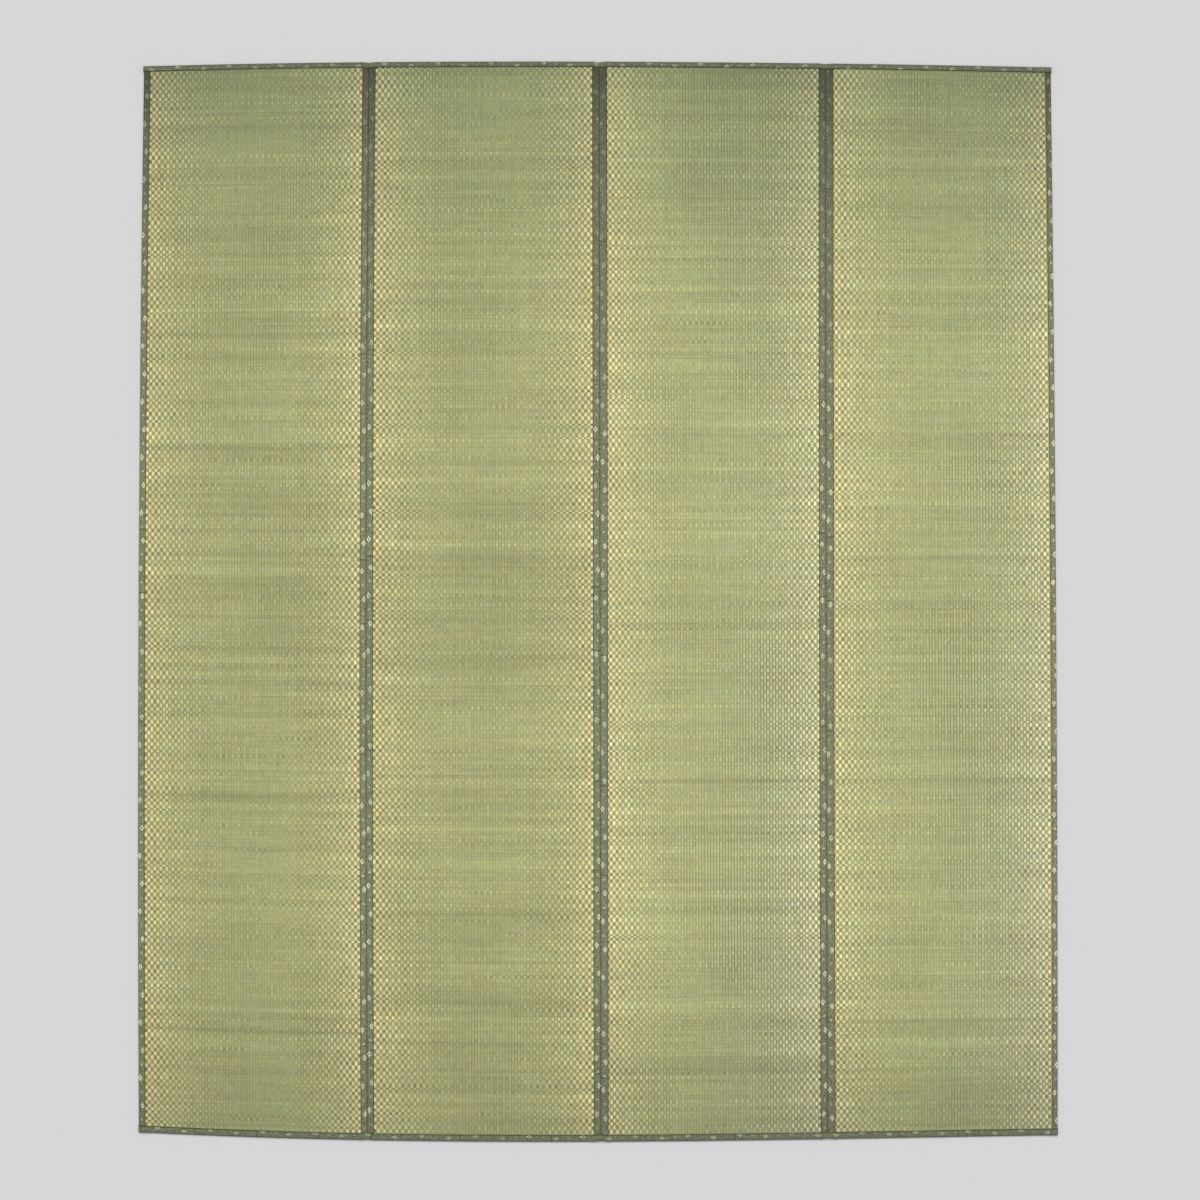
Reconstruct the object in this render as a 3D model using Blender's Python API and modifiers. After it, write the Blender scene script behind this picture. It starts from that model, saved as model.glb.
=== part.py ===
"""A rush floor carpet, lying flat.

Four strips of woven rush lie side by side. A cloth tape is folded round each long side of each strip,
the strips are joined tape to tape, and one longer tape is folded round each end of all four.

Metres, +Z up. X runs across the strips, Y along them, the floor is z = 0 and the origin is the middle.
"""

from collections import namedtuple

import bmesh
import bpy
from mathutils import Vector

# Driving sizes
STRIP_WIDE = 0.88
CARPET_LONG = 4.13
RUSH_THICK = 0.003
TAPE_THICK = 0.0007
SIDE_TAPE_WIDE = 0.026
GAP = 0.00034

# How the pieces lie on each other
LAYER = TAPE_THICK + GAP
LEAVES_APART = TAPE_THICK + RUSH_THICK + 2 * GAP
EDGE_IN = GAP / 2 + TAPE_THICK + GAP
TAPE_MIDDLE_IN = GAP / 2 + TAPE_THICK / 2
SIDE_TAPE_EDGE = SIDE_TAPE_WIDE + 2 * GAP
STEP_LONG = 0.006
RAMP_LONG = 0.025
SEAM_DIP = 0.003

# The bowed outline is worked out at this many steps, and runs straight between them
STEPS_ALONG = 8
STEPS_ACROSS = 4

# Each long line of the carpet, from left to right: where it stands across the carpet at its front end,
# halfway and at its back end, and how far its two ends are from the middle of the carpet.
Line = namedtuple("Line", "name front_x middle_x back_x front_y back_y")
LINES = (
    Line("left_side", -1.758, -1.759, -1.738, -2.032, 2.049),
    Line("left_seam", -0.883, -0.888, -0.877, -2.062, 2.065),
    Line("middle_seam", 0.011, 0.008, 0.004, -2.068, 2.067),
    Line("right_seam", 0.879, 0.873, 0.871, -2.058, 2.060),
    Line("right_side", 1.760, 1.754, 1.733, -2.043, 2.045),
)

# Low waves across the rush, from the back end to the front: the strip, where the crest is along the
# carpet, how high it stands and how far it reaches to each side.
Wave = namedtuple("Wave", "strip at height reach")
WAVES = (
    Wave(0, 1.10, 0.0030, 0.060),
    Wave(0, 0.59, 0.0022, 0.045),
    Wave(0, 0.10, 0.0026, 0.050),
    Wave(0, -0.73, 0.0024, 0.045),
    Wave(0, -1.19, 0.0028, 0.055),
    Wave(1, 1.69, 0.0020, 0.045),
    Wave(1, 1.07, 0.0028, 0.055),
    Wave(1, 0.63, 0.0022, 0.050),
    Wave(1, -0.22, 0.0020, 0.045),
    Wave(1, -0.70, 0.0030, 0.060),
    Wave(1, -1.17, 0.0024, 0.050),
    Wave(2, 1.08, 0.0028, 0.055),
    Wave(2, 0.64, 0.0020, 0.045),
    Wave(2, 0.18, 0.0026, 0.050),
    Wave(2, -0.67, 0.0024, 0.045),
    Wave(2, -1.16, 0.0030, 0.055),
    Wave(3, 1.09, 0.0024, 0.050),
    Wave(3, 0.62, 0.0026, 0.050),
    Wave(3, -0.24, 0.0022, 0.045),
    Wave(3, -0.66, 0.0026, 0.050),
    Wave(3, -1.60, 0.0028, 0.055),
)

# The tape round each end: its share of the way along the carpet, how wide each of its leaves is, and how
# far it stands past each side.
EndTape = namedtuple("EndTape", "name end wide past_side")
END_TAPES = (
    EndTape("end_tape_front", 0, 0.026, 0.0010),
    EndTape("end_tape_back", 1, 0.019, 0.0025),
)

# A material's colour is linear red, green and blue
Finish = namedtuple("Finish", "name colour roughness metallic")
RUSH = Finish("woven_rush", (0.385, 0.386, 0.185), 0.62, 0.0)
TAPE = Finish("patterned_tape", (0.085, 0.100, 0.060), 0.85, 0.0)


def clear_scene():
    for obj in list(bpy.data.objects):
        bpy.data.objects.remove(obj, do_unlink=True)


def material(finish):
    made = bpy.data.materials.new(finish.name)
    made.use_nodes = True
    shader = made.node_tree.nodes["Principled BSDF"]
    shader.inputs["Base Color"].default_value = (*finish.colour, 1.0)
    shader.inputs["Roughness"].default_value = finish.roughness
    shader.inputs["Metallic"].default_value = finish.metallic
    return made


def between(start, end, share):
    return start + (end - start) * share


def smooth_through(values, share):
    """The smooth curve through evenly spaced values, read at a share of the way along them."""
    last = len(values) - 1
    total = 0.0
    for here, value in enumerate(values):
        weight = 1.0
        for other in range(len(values)):
            if other != here:
                weight *= (share * last - other) / (here - other)
        total += value * weight
    return total


def in_steps(curve, share, steps):
    """The curve read at even steps, with straight runs between them and past the ends."""
    step = min(max(int(share * steps), 0), steps - 1)
    return between(curve(step / steps), curve((step + 1) / steps), share * steps - step)


def line_x(line, along):
    places = (line.front_x, line.middle_x, line.back_x)
    return in_steps(lambda share: smooth_through(places, share), along, STEPS_ALONG)


def side_distance(across):
    """How far a share of a strip's width is from the nearer long side of the strip."""
    return min(across, 1 - across) * STRIP_WIDE


def end_distance(along):
    """How far a share of the length is from the nearer end of the carpet."""
    return min(along, 1 - along) * CARPET_LONG


def end_y(end, strip, across):
    """How far along the carpet its end stands, with the small dip that each seam makes there."""
    strips = len(LINES) - 1
    ends = [line.back_y if end else line.front_y for line in LINES]

    def bowed(share):
        return smooth_through(ends, (strip + share) / strips)

    at_seam = strip > 0 if across < 0.5 else strip < strips - 1
    dip = SEAM_DIP * max(0.0, 1 - side_distance(across) / SIDE_TAPE_EDGE) if at_seam else 0.0
    return in_steps(bowed, across, STEPS_ACROSS) + (-dip if end else dip)


def spot(strip, across, along, height):
    """The point at these shares of a strip's width and of the carpet's length."""
    left, right = LINES[strip], LINES[strip + 1]
    x = between(line_x(left, along), line_x(right, along), across)
    y = between(end_y(0, strip, across), end_y(1, strip, across), along)
    return Vector((x, y, height))


def falling(distance, start, reach):
    """1 up to start, and 0 from start + reach on."""
    return min(max(1 - (distance - start) / reach, 0.0), 1.0)


def over_end_tape(along):
    """1 over the lower leaf of the nearer end tape, and 0 past the ramp beside it."""
    tape = END_TAPES[0 if along < 0.5 else 1]
    return falling(end_distance(along), tape.wide + 2 * GAP, RAMP_LONG)


def wave_height(strip, across, along):
    """How far the waves lift the rush. They die out before the tapes."""
    inside = side_distance(across) - SIDE_TAPE_EDGE - RAMP_LONG
    fade = min(max(inside / (STRIP_WIDE / STEPS_ACROSS), 0.0), 1.0)
    at = between(LINES[strip].front_y, LINES[strip].back_y, along)
    waves = [wave for wave in WAVES if wave.strip == strip]
    return fade * sum(wave.height * falling(abs(at - wave.at), 0.0, wave.reach) for wave in waves)


def rush_underside(strip, across, along):
    """The height of the rush's underside, which rests on the tapes' lower leaves near its edges."""
    over_side_tape = falling(side_distance(across), SIDE_TAPE_EDGE, RAMP_LONG)
    return LAYER * (over_side_tape + over_end_tape(along)) + wave_height(strip, across, along)


def mirrored(distances, whole, inner):
    """Shares of a whole: these distances from each of its ends, and the inner shares between them."""
    near = [distance / whole for distance in distances]
    far = [1 - share for share in reversed(near)]
    return near + [share for share in sorted(inner) if near[-1] < share < far[0]] + far


def even_shares(steps):
    return [step / steps for step in range(1, steps)]


def rows_along(inner):
    """Shares of the length for a piece that lies under both end tapes, with these inner shares."""
    edges = [tape.wide + 2 * GAP for tape in END_TAPES]
    turns = sorted(edge + ramp for edge in edges for ramp in (0.0, RAMP_LONG))
    return mirrored([EDGE_IN, *turns], CARPET_LONG, inner)


def sheet(name, columns, rows, place, thickness, finish, collection):
    """A grid of faces whose corners `place` sets from a column and a row, made solid by Solidify."""
    grid = bmesh.new()
    wide, long = len(columns) - 1, len(rows) - 1
    bmesh.ops.create_grid(grid, x_segments=wide, y_segments=long, size=0.5)
    for vert in grid.verts:
        column = round((vert.co.x + 0.5) * wide)
        row = round((vert.co.y + 0.5) * long)
        vert.co = place(columns[column], rows[row])
    mesh = bpy.data.meshes.new(name)
    grid.to_mesh(mesh)
    grid.free()
    mesh.materials.append(finish)
    made = bpy.data.objects.new(name, mesh)
    collection.objects.link(made)
    solid = made.modifiers.new("Thickness", "SOLIDIFY")
    solid.thickness = thickness
    solid.offset = 0.0
    solid.use_even_offset = True
    return made


def rush_strip(strip, finish, collection):
    """One strip of woven rush, its middle surface laid out and then given its thickness."""

    def place(across, along):
        return spot(strip, across, along, rush_underside(strip, across, along) + RUSH_THICK / 2)

    line = LINES[strip]
    crests = [wave.at + side * wave.reach for wave in WAVES if wave.strip == strip for side in (-1, 0, 1)]
    wave_shares = [(at - line.front_y) / (line.back_y - line.front_y) for at in crests]
    side_distances = (EDGE_IN, SIDE_TAPE_EDGE, SIDE_TAPE_EDGE + RAMP_LONG)
    columns = mirrored(side_distances, STRIP_WIDE, even_shares(STEPS_ACROSS))
    rows = rows_along(even_shares(STEPS_ALONG) + wave_shares)
    sheet(f"rush_strip_{strip + 1}", columns, rows, place, RUSH_THICK, finish, collection)


# A point of a folded tape's section: how far it is from the fold's outer face, and which leaf it is on
Leaf = namedtuple("Leaf", "distance over")


def folded(reach):
    """The section of a tape folded round an edge, from the rim of its upper leaf to that of its lower."""
    return (
        Leaf(reach, True),
        Leaf(TAPE_MIDDLE_IN, True),
        Leaf(TAPE_MIDDLE_IN, False),
        Leaf(reach, False),
    )


def side_tape(strip, side, finish, collection):
    """The tape folded round one long side of a strip, under the end tapes at both of its ends."""

    def place(leaf, along):
        near = leaf.distance / STRIP_WIDE
        across = 1 - near if side == "right" else near
        lower = LAYER * over_end_tape(along) + TAPE_THICK / 2
        return spot(strip, across, along, lower + (LEAVES_APART if leaf.over else 0.0))

    leaves = folded(SIDE_TAPE_WIDE)
    rows = rows_along(even_shares(STEPS_ALONG))
    columns = leaves if side == "right" else leaves[::-1]
    sheet(f"side_tape_{strip + 1}_{side}", columns, rows, place, TAPE_THICK, finish, collection)


def end_tape(tape, finish, collection):
    """The tape folded round one end of all the strips, over the ends of their side tapes."""

    def place(column, leaf):
        strip, across = column
        near = leaf.distance / CARPET_LONG
        along = 1 - near if tape.end else near
        distance = side_distance(across)
        rush_lift = LAYER * falling(distance, SIDE_TAPE_EDGE, RAMP_LONG)
        tape_lift = LAYER * falling(distance, SIDE_TAPE_EDGE, STEP_LONG)
        upper = LEAVES_APART + rush_lift + tape_lift if leaf.over else 0.0
        return spot(strip, across, along, TAPE_THICK / 2 + upper)

    side_distances = (SIDE_TAPE_EDGE, SIDE_TAPE_EDGE + STEP_LONG, SIDE_TAPE_EDGE + RAMP_LONG)
    inner = mirrored(side_distances, STRIP_WIDE, even_shares(STEPS_ACROSS))
    last = len(LINES) - 2
    columns = [(0, -tape.past_side / STRIP_WIDE)]
    for strip in range(last + 1):
        columns += [(strip, across) for across in [0.0, *inner]]
    columns += [(last, 1.0), (last, 1 + tape.past_side / STRIP_WIDE)]
    leaves = folded(tape.wide)
    rows = leaves[::-1] if tape.end else leaves
    sheet(tape.name, columns, rows, place, TAPE_THICK, finish, collection)


def main():
    clear_scene()
    collection = bpy.data.collections.new("rush_carpet")
    bpy.context.scene.collection.children.link(collection)
    rush, tape = material(RUSH), material(TAPE)
    for strip in range(len(LINES) - 1):
        rush_strip(strip, rush, collection)
        for side in ("left", "right"):
            side_tape(strip, side, tape, collection)
    for end in END_TAPES:
        end_tape(end, tape, collection)


main()
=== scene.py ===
"""The looks of the rush carpet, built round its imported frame.

Four strips of woven rush lie side by side. A patterned cloth tape is folded round each long side of
each strip and sewn down, the strips are joined tape to tape, and one longer tape is folded round
each end.

Metres, +Z up. X runs across the strips, Y along them towards the back end, and the floor is z = 0.
A strip's "across" is a share of its width from its left side, and "along" is a share of the carpet's
length from its front end. Colours in the finishes are the 8-bit values that the eye reads off the
real thing.
"""

import logging
import math
from collections.abc import Sequence
from dataclasses import dataclass, field
from enum import Enum

import bmesh
import bpy
import numpy as np
from mathutils import Euler, Matrix, Vector


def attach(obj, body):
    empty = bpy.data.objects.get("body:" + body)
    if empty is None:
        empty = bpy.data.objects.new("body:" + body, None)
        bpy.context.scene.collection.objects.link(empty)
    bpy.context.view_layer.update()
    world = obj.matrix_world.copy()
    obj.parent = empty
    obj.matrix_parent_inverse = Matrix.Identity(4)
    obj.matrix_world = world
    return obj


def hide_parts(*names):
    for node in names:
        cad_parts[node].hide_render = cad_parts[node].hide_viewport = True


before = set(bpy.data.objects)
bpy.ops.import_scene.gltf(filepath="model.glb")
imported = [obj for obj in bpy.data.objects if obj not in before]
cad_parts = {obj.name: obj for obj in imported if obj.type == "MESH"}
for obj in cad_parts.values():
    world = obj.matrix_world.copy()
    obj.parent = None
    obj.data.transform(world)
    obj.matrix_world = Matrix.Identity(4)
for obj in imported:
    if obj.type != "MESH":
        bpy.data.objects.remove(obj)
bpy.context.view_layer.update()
log = logging.getLogger("rush_carpet")

Numbers = float | np.ndarray
Wire = bpy.types.NodeSocket
Feed = Wire | float | tuple | Vector
Colour = tuple[int, int, int]
Range = tuple[float, float]
Tint = tuple[float, float, float]

WEAVE_MAP = "weave"
CLOTH_MAP = "cloth"
BAKE_MAP = "OFBake"
# The tone attribute holds a piece's own lightness with painted shade towards the ends, and on the rush the
# painted light and shade of its bands
TONE_AND_SHADE = "tone"
PALE = "pale"
FRESH = "fresh"
REACH = "reach"
MOTIF_LINE = "motif_line"
DRAWN = "drawn"
SHARP_ANGLE = math.radians(50)
LEVEL_POWER = 2.2


class Side(Enum):
    """The two long sides of a strip."""

    LEFT = "left"
    RIGHT = "right"


class End(Enum):
    """The two ends of the carpet, and the share of its length at which each stands."""

    FRONT = 0
    BACK = 1


# The shape that the solids have, repeated from their source


@dataclass(frozen=True)
class Line:
    """A long line of the carpet: how far across it stands at three places, and where its ends are."""

    front_x: float
    middle_x: float
    back_x: float
    front_y: float
    back_y: float


@dataclass(frozen=True)
class Wave:
    """A low wave across a strip's rush: where its crest is along it, its height and its reach."""

    strip: int
    at: float
    height: float
    reach: float


@dataclass(frozen=True)
class EndFold:
    """How wide each leaf of an end's tape is, and how far the tape stands past the carpet's sides."""

    wide: float
    past_side: float


@dataclass(frozen=True)
class TapeLay:
    """How one tape came to lie: its cloth is seldom folded quite in its middle.

    Sizes are in metres: how wide its upper leaf is, how far from that leaf's edge the line of
    diamonds runs, and what is added to the diamonds' place along the tape. Its tone is the share of
    light it gives back, and drawn is how strongly its diamonds show, at even steps from its first
    end to its last.
    """

    reach: float
    motif_line: float
    phase: float
    tone: float = 1.0
    drawn: tuple[float, ...] = (1.0,)


LINES = (
    Line(-1.758, -1.759, -1.738, -2.032, 2.049),
    Line(-0.883, -0.888, -0.877, -2.062, 2.065),
    Line(0.011, 0.008, 0.004, -2.068, 2.067),
    Line(0.879, 0.873, 0.871, -2.058, 2.060),
    Line(1.760, 1.754, 1.733, -2.043, 2.045),
)

WAVES = (
    Wave(0, 1.10, 0.0030, 0.060),
    Wave(0, 0.59, 0.0022, 0.045),
    Wave(0, 0.10, 0.0026, 0.050),
    Wave(0, -0.73, 0.0024, 0.045),
    Wave(0, -1.19, 0.0028, 0.055),
    Wave(1, 1.69, 0.0020, 0.045),
    Wave(1, 1.07, 0.0028, 0.055),
    Wave(1, 0.63, 0.0022, 0.050),
    Wave(1, -0.22, 0.0020, 0.045),
    Wave(1, -0.70, 0.0030, 0.060),
    Wave(1, -1.17, 0.0024, 0.050),
    Wave(2, 1.08, 0.0028, 0.055),
    Wave(2, 0.64, 0.0020, 0.045),
    Wave(2, 0.18, 0.0026, 0.050),
    Wave(2, -0.67, 0.0024, 0.045),
    Wave(2, -1.16, 0.0030, 0.055),
    Wave(3, 1.09, 0.0024, 0.050),
    Wave(3, 0.62, 0.0026, 0.050),
    Wave(3, -0.24, 0.0022, 0.045),
    Wave(3, -0.66, 0.0026, 0.050),
    Wave(3, -1.60, 0.0028, 0.055),
)

END_FOLDS = {End.FRONT: EndFold(0.026, 0.0010), End.BACK: EndFold(0.019, 0.0025)}

OUTER_DRAWN = (1.4, 1.4, 0.85, 1.35, 1.45, 1.2)
SEAM_DRAWN = (1.25, 1.2, 0.75, 1.2, 0.6, 0.45)
SIDE_LAYS = {
    Side.LEFT: (
        TapeLay(0.0260, 0.0145, 0.1122, tone=0.98, drawn=OUTER_DRAWN),
        TapeLay(0.0260, 0.0135, 0.2101, drawn=SEAM_DRAWN),
        TapeLay(0.0306, 0.0173, 0.3425, drawn=SEAM_DRAWN),
        TapeLay(0.0310, 0.0177, 0.1366, drawn=SEAM_DRAWN),
    ),
    Side.RIGHT: (
        TapeLay(0.0250, 0.0128, 0.2251, tone=1.06, drawn=SEAM_DRAWN),
        TapeLay(0.0266, 0.0160, 0.3258, drawn=SEAM_DRAWN),
        TapeLay(0.0268, 0.0162, 0.1205, drawn=SEAM_DRAWN),
        TapeLay(0.0220, 0.0138, 0.0511, tone=1.06, drawn=OUTER_DRAWN),
    ),
}
END_LAYS = {
    End.FRONT: TapeLay(0.0260, 0.0100, 0.1295, tone=0.92),
    End.BACK: TapeLay(0.0210, 0.0100, 0.1725, tone=0.85),
}


def smooth_through(values: Sequence[float], share: Numbers) -> Numbers:
    """Reads the smooth curve that runs through evenly spaced values.

    Args:
        values: The values that the curve passes.
        share: How far along the curve to read it, from 0 to 1.

    Returns:
        The curve's value there.
    """
    last = len(values) - 1
    total = 0.0
    for here, value in enumerate(values):
        weight = 1.0
        for other in range(last + 1):
            if other != here:
                weight = weight * (share * last - other) / (here - other)
        total = total + value * weight
    return total


def falling(distance: Numbers, start: float, reach: float) -> Numbers:
    """Gives 1 up to a start distance, 0 from its reach on, and an even slope between them."""
    return np.clip(1 - (distance - start) / reach, 0.0, 1.0)


@dataclass(frozen=True)
class Layout:
    """The carpet's outline, and how its layers lie on each other."""

    strip_wide: float = 0.88
    long: float = 4.13
    cut_long: float = 4.12
    cut_wide: float = 3.52
    rush_thick: float = 0.003
    tape_thick: float = 0.0007
    side_tape_wide: float = 0.026
    gap: float = 0.00034
    step_long: float = 0.006
    ramp_long: float = 0.025
    seam_dip: float = 0.003
    wave_fade: float = 0.22
    shade_reach: float = 0.43
    lines: tuple[Line, ...] = LINES

    @property
    def strips(self) -> int:
        """How many strips lie side by side."""
        return len(self.lines) - 1

    @property
    def layer(self) -> float:
        """A tape's thickness, with the gap to what lies on it."""
        return self.tape_thick + self.gap

    @property
    def leaves_apart(self) -> float:
        """From the middle of a tape's lower leaf to the middle of its upper one."""
        return self.tape_thick + self.rush_thick + 2 * self.gap

    @property
    def rush_edge(self) -> float:
        """From a line of the carpet to the edge of the rush inside its tape."""
        return self.gap / 2 + self.layer

    @property
    def fold_middle(self) -> float:
        """From a line of the carpet to the middle of the cloth that is folded there."""
        return (self.gap + self.tape_thick) / 2

    @property
    def side_tape_edge(self) -> float:
        """From a long line to just past the inner edge of its tape."""
        return self.side_tape_wide + 2 * self.gap

    def upper_leaf_edge(self, strip: int, across: Numbers) -> Numbers:
        """From a strip's nearer long side to just past the upper leaf of the tape there."""
        left, right = SIDE_LAYS[Side.LEFT][strip], SIDE_LAYS[Side.RIGHT][strip]
        return np.where(across < 0.5, left.reach, right.reach) + 2 * self.gap

    def side_distance(self, across: Numbers) -> Numbers:
        """How far a share of a strip's width is from its nearer long side."""
        return np.minimum(across, 1 - across) * self.strip_wide

    def end_distance(self, along: Numbers) -> Numbers:
        """How far a share of the length is from the carpet's nearer end."""
        return np.minimum(along, 1 - along) * self.long

    def line_x(self, line: Line, along: Numbers) -> Numbers:
        """How far across the carpet a long line stands at a share of the length."""
        return smooth_through((line.front_x, line.middle_x, line.back_x), along)

    def end_y(self, end: End, strip: int, across: Numbers) -> Numbers:
        """Finds where an end of the carpet stands, with the small dip that a seam makes in it.

        Args:
            end: Which end it is.
            strip: The strip's number, from the left.
            across: Shares of the strip's width.

        Returns:
            The end's place along the carpet.
        """
        ends = [line.back_y if end is End.BACK else line.front_y for line in self.lines]
        bowed = smooth_through(ends, (strip + across) / self.strips)
        left_seam, right_seam = strip > 0, strip < self.strips - 1
        at_seam = np.where(across < 0.5, left_seam, right_seam)
        dip = self.seam_dip * at_seam * falling(self.side_distance(across), 0.0, self.side_tape_edge)
        return bowed - dip if end is End.BACK else bowed + dip

    def place(self, strip: int, across: Numbers, along: Numbers, height: Numbers) -> np.ndarray:
        """Turns shares of a strip's width and of the length into points.

        Args:
            strip: The strip's number, from the left.
            across: Shares of the strip's width.
            along: Shares of the carpet's length.
            height: Heights over the floor.

        Returns:
            One row of x, y and z for each point.
        """
        left, right = self.lines[strip], self.lines[strip + 1]
        left_x, right_x = self.line_x(left, along), self.line_x(right, along)
        front_y, back_y = self.end_y(End.FRONT, strip, across), self.end_y(End.BACK, strip, across)
        x = left_x + (right_x - left_x) * across
        y = front_y + (back_y - front_y) * along
        return np.stack(np.broadcast_arrays(x, y, height), axis=-1)

    def along_y(self, strip: int, along: Numbers) -> Numbers:
        """The rough place along the carpet of a share of the length, halfway across a strip."""
        line = self.lines[strip]
        return line.front_y + (line.back_y - line.front_y) * along

    def over_side_tape(self, across: Numbers) -> Numbers:
        """1 over the lower leaf of a side tape, and 0 past the ramp beside it."""
        return falling(self.side_distance(across), self.side_tape_edge, self.ramp_long)

    def over_end_tape(self, along: Numbers) -> Numbers:
        """1 over the lower leaf of an end tape, and 0 past the ramp beside it."""
        distance = self.end_distance(along)
        over_front = falling(distance, self.end_tape_edge(End.FRONT), self.ramp_long)
        over_back = falling(distance, self.end_tape_edge(End.BACK), self.ramp_long)
        return np.where(along < 0.5, over_front, over_back)

    def end_tape_edge(self, end: End) -> float:
        """From an end of the carpet to just past the inner edge of its tape."""
        return END_FOLDS[end].wide + 2 * self.gap

    def end_shade(self, along: Numbers, front_drop: float, back_drop: Numbers) -> Numbers:
        """How much darker the carpet is towards its ends, given how much it is at each of them."""
        # The darkening towards the ends is painted shade, and the same curve says where the rush is greener
        from_front, from_back = along * self.long, (1 - along) * self.long
        at_front, at_back = np.exp(-from_front / self.shade_reach), np.exp(-from_back / self.shade_reach)
        return -front_drop * at_front - back_drop * at_back

    def wave_height(self, strip: int, across: Numbers, along: Numbers) -> Numbers:
        """How far the low waves lift the rush, rounded at their crests and gone before the tapes."""
        inside = self.side_distance(across) - self.side_tape_edge - self.ramp_long
        at = self.along_y(strip, along)
        lift = np.zeros_like(at)
        for wave in WAVES:
            if wave.strip == strip:
                share = np.clip((at - wave.at) / wave.reach, -1.0, 1.0)
                lift = lift + wave.height * np.cos(share * math.pi / 2) ** 2
        return lift * np.clip(inside / self.wave_fade, 0.0, 1.0)

    def rush_underside(self, strip: int, across: Numbers, along: Numbers) -> Numbers:
        """The height of the rush's underside, which lies on the tapes' lower leaves near its edges."""
        layers = self.over_side_tape(across) + self.over_end_tape(along)
        return self.layer * layers + self.wave_height(strip, across, along)

    def end_tape_rise(self, strip: int, across: Numbers) -> Numbers:
        """How much higher an end tape's upper leaf lies where it crosses a strip's side tapes."""
        distance = self.side_distance(across)
        rush_lift = falling(distance, self.side_tape_edge, self.ramp_long)
        tape_lift = falling(distance, self.upper_leaf_edge(strip, across), self.step_long)
        return self.layer * (rush_lift + tape_lift)


# Finishes


def linear(colour: Colour) -> tuple[float, float, float, float]:
    """Turns an 8-bit colour, as the eye reads it, into the light that a shader works with."""
    shares = [channel / 255 for channel in colour]
    light = [s / 12.92 if s <= 0.04045 else ((s + 0.055) / 1.055) ** 2.4 for s in shares]
    return (light[0], light[1], light[2], 1.0)


@dataclass(frozen=True)
class Patches:
    """Soft uneven patches: how many there are to a unit across and along, their seed and detail."""

    across: float
    along: float
    seed: float = 0.0
    detail: float = 1.0


@dataclass(frozen=True)
class CheckFinish:
    """The rush's cells, pale and green by turns, which differ most near a strip's long sides.

    Patches are counted in cells. A row of browner rush, or one that shows its cells in the strip's
    middle, does so over a part of its width. A cell is an oval, sized in shares of a cell.
    """

    middle_pale: Colour = (183, 184, 130)
    middle_between: Colour = (166, 167, 117)
    middle_green: Colour = (150, 152, 103)
    side_pale: Colour = (246, 234, 181)
    side_between: Colour = (187, 181, 129)
    side_green: Colour = (106, 117, 74)
    uneven: Range = (0.45, 1.55)
    uneven_patches: Patches = Patches(0.08, 0.34)
    brown: Colour = (118, 112, 74)
    brown_share: float = 0.8
    brown_rows: Range = (0.80, 0.90)
    brown_part: Range = (0.42, 0.56)
    brown_patches: Patches = Patches(0.05, 5.3, detail=0.0)
    shown_outward: Range = (0.04, 0.66)
    shown_rows: Range = (0.35, 0.80)
    shown_part: Range = (0.38, 0.58)
    shown_patches: Patches = Patches(0.07, 3.1, detail=0.0)
    oval_wide: Range = (0.30, 0.42)
    oval_long: float = 0.50
    oval_power: float = 2.4
    oval_edge: Range = (1.35, 0.45)
    luck: Range = (0.50, 1.0)


@dataclass(frozen=True)
class StrandFinish:
    """How the rush's strands, rows and columns are shaded, as shares of the light they give back.

    Their edges are painted shade, in the grooves between them. A field that ends in at says where the
    painted shade of an edge, or the warp's dark line, sets in and where it is full, from the middle of
    a strand, row or column, 0, to its border, 0.5.
    """

    strands: int = 7
    near_side: Range = (1.0, 1.02)
    strand: Range = (0.82, 1.18)
    strand_patches: Patches = Patches(0.06, 7.31, detail=0.0)
    # Painted shade in the grooves between strands
    strand_groove_shade: Range = (1.04, 0.82)
    strand_edge_at: Range = (0.28, 0.5)
    row: Range = (0.94, 1.06)
    # Painted shade in the grooves between rows
    row_groove_shade: Range = (1.01, 0.85)
    row_edge_at: Range = (0.40, 0.5)
    cell: Range = (0.93, 1.07)
    column: Range = (0.975, 1.025)
    # Painted shade in the grooves between columns
    column_edge: Range = (1.03, 0.82)
    column_edge_at: Range = (0.34, 0.5)
    broad: Range = (0.88, 1.12)
    broad_patches: Patches = Patches(0.012, 0.11, detail=2.0)
    warp: Range = (1.07, 0.80)
    warp_at: Range = (0.12, 0.44)
    warp_show: Range = (0.2, 0.85)
    warp_where_pale: float = 1.25
    warp_near_side: float = 0.1
    warp_part: Range = (0.35, 0.65)
    warp_patches: Patches = Patches(0.03, 0.02, seed=2.0)


@dataclass(frozen=True)
class HueFinish:
    """The tints that parts of the rush have: what their red, green and blue are multiplied by.

    The cells next to the tapes are yellower on the left, and lighter on the right where they aren't
    bleached. The columns are counted from the strip's left side.
    """

    green_rows: Tint = (0.972, 1.010, 0.957)
    warm_rows: Tint = (1.0, 1.003, 0.958)
    row_part: Range = (0.30, 0.70)
    row_patches: Patches = Patches(0.02, 0.16, seed=9.0, detail=2.0)
    warm_cells: Tint = (1.03, 0.99, 0.93)
    cool_cells: Tint = (0.97, 1.005, 1.05)
    fresh: Tint = (0.93, 1.0, 1.0)
    bleached: Tint = (0.945, 0.965, 1.18)
    rim_power: float = 4.0
    left_rim: Tint = (1.02, 0.85, 0.80)
    left_rim_columns: Range = (30.0, 20.0)
    right_rim: Tint = (1.26, 1.14, 1.20)
    right_rim_columns: Range = (46.0, 56.0)
    last_column: Tint = (1.02, 0.985, 0.93)
    last_columns: Range = (72.0, 72.5)


@dataclass(frozen=True)
class RushFinish:
    """Dry woven rush: how many cells a strip has, how fast its checks fade inwards, and its looks."""

    columns: int = 76
    rows: int = 296
    fade_power: float = 2.5
    roughness: Range = (0.52, 0.68)
    strand_relief: float = 0.00022
    column_dip: float = -0.00025
    checks: CheckFinish = CheckFinish()
    strands: StrandFinish = StrandFinish()
    hues: HueFinish = HueFinish()


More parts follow.
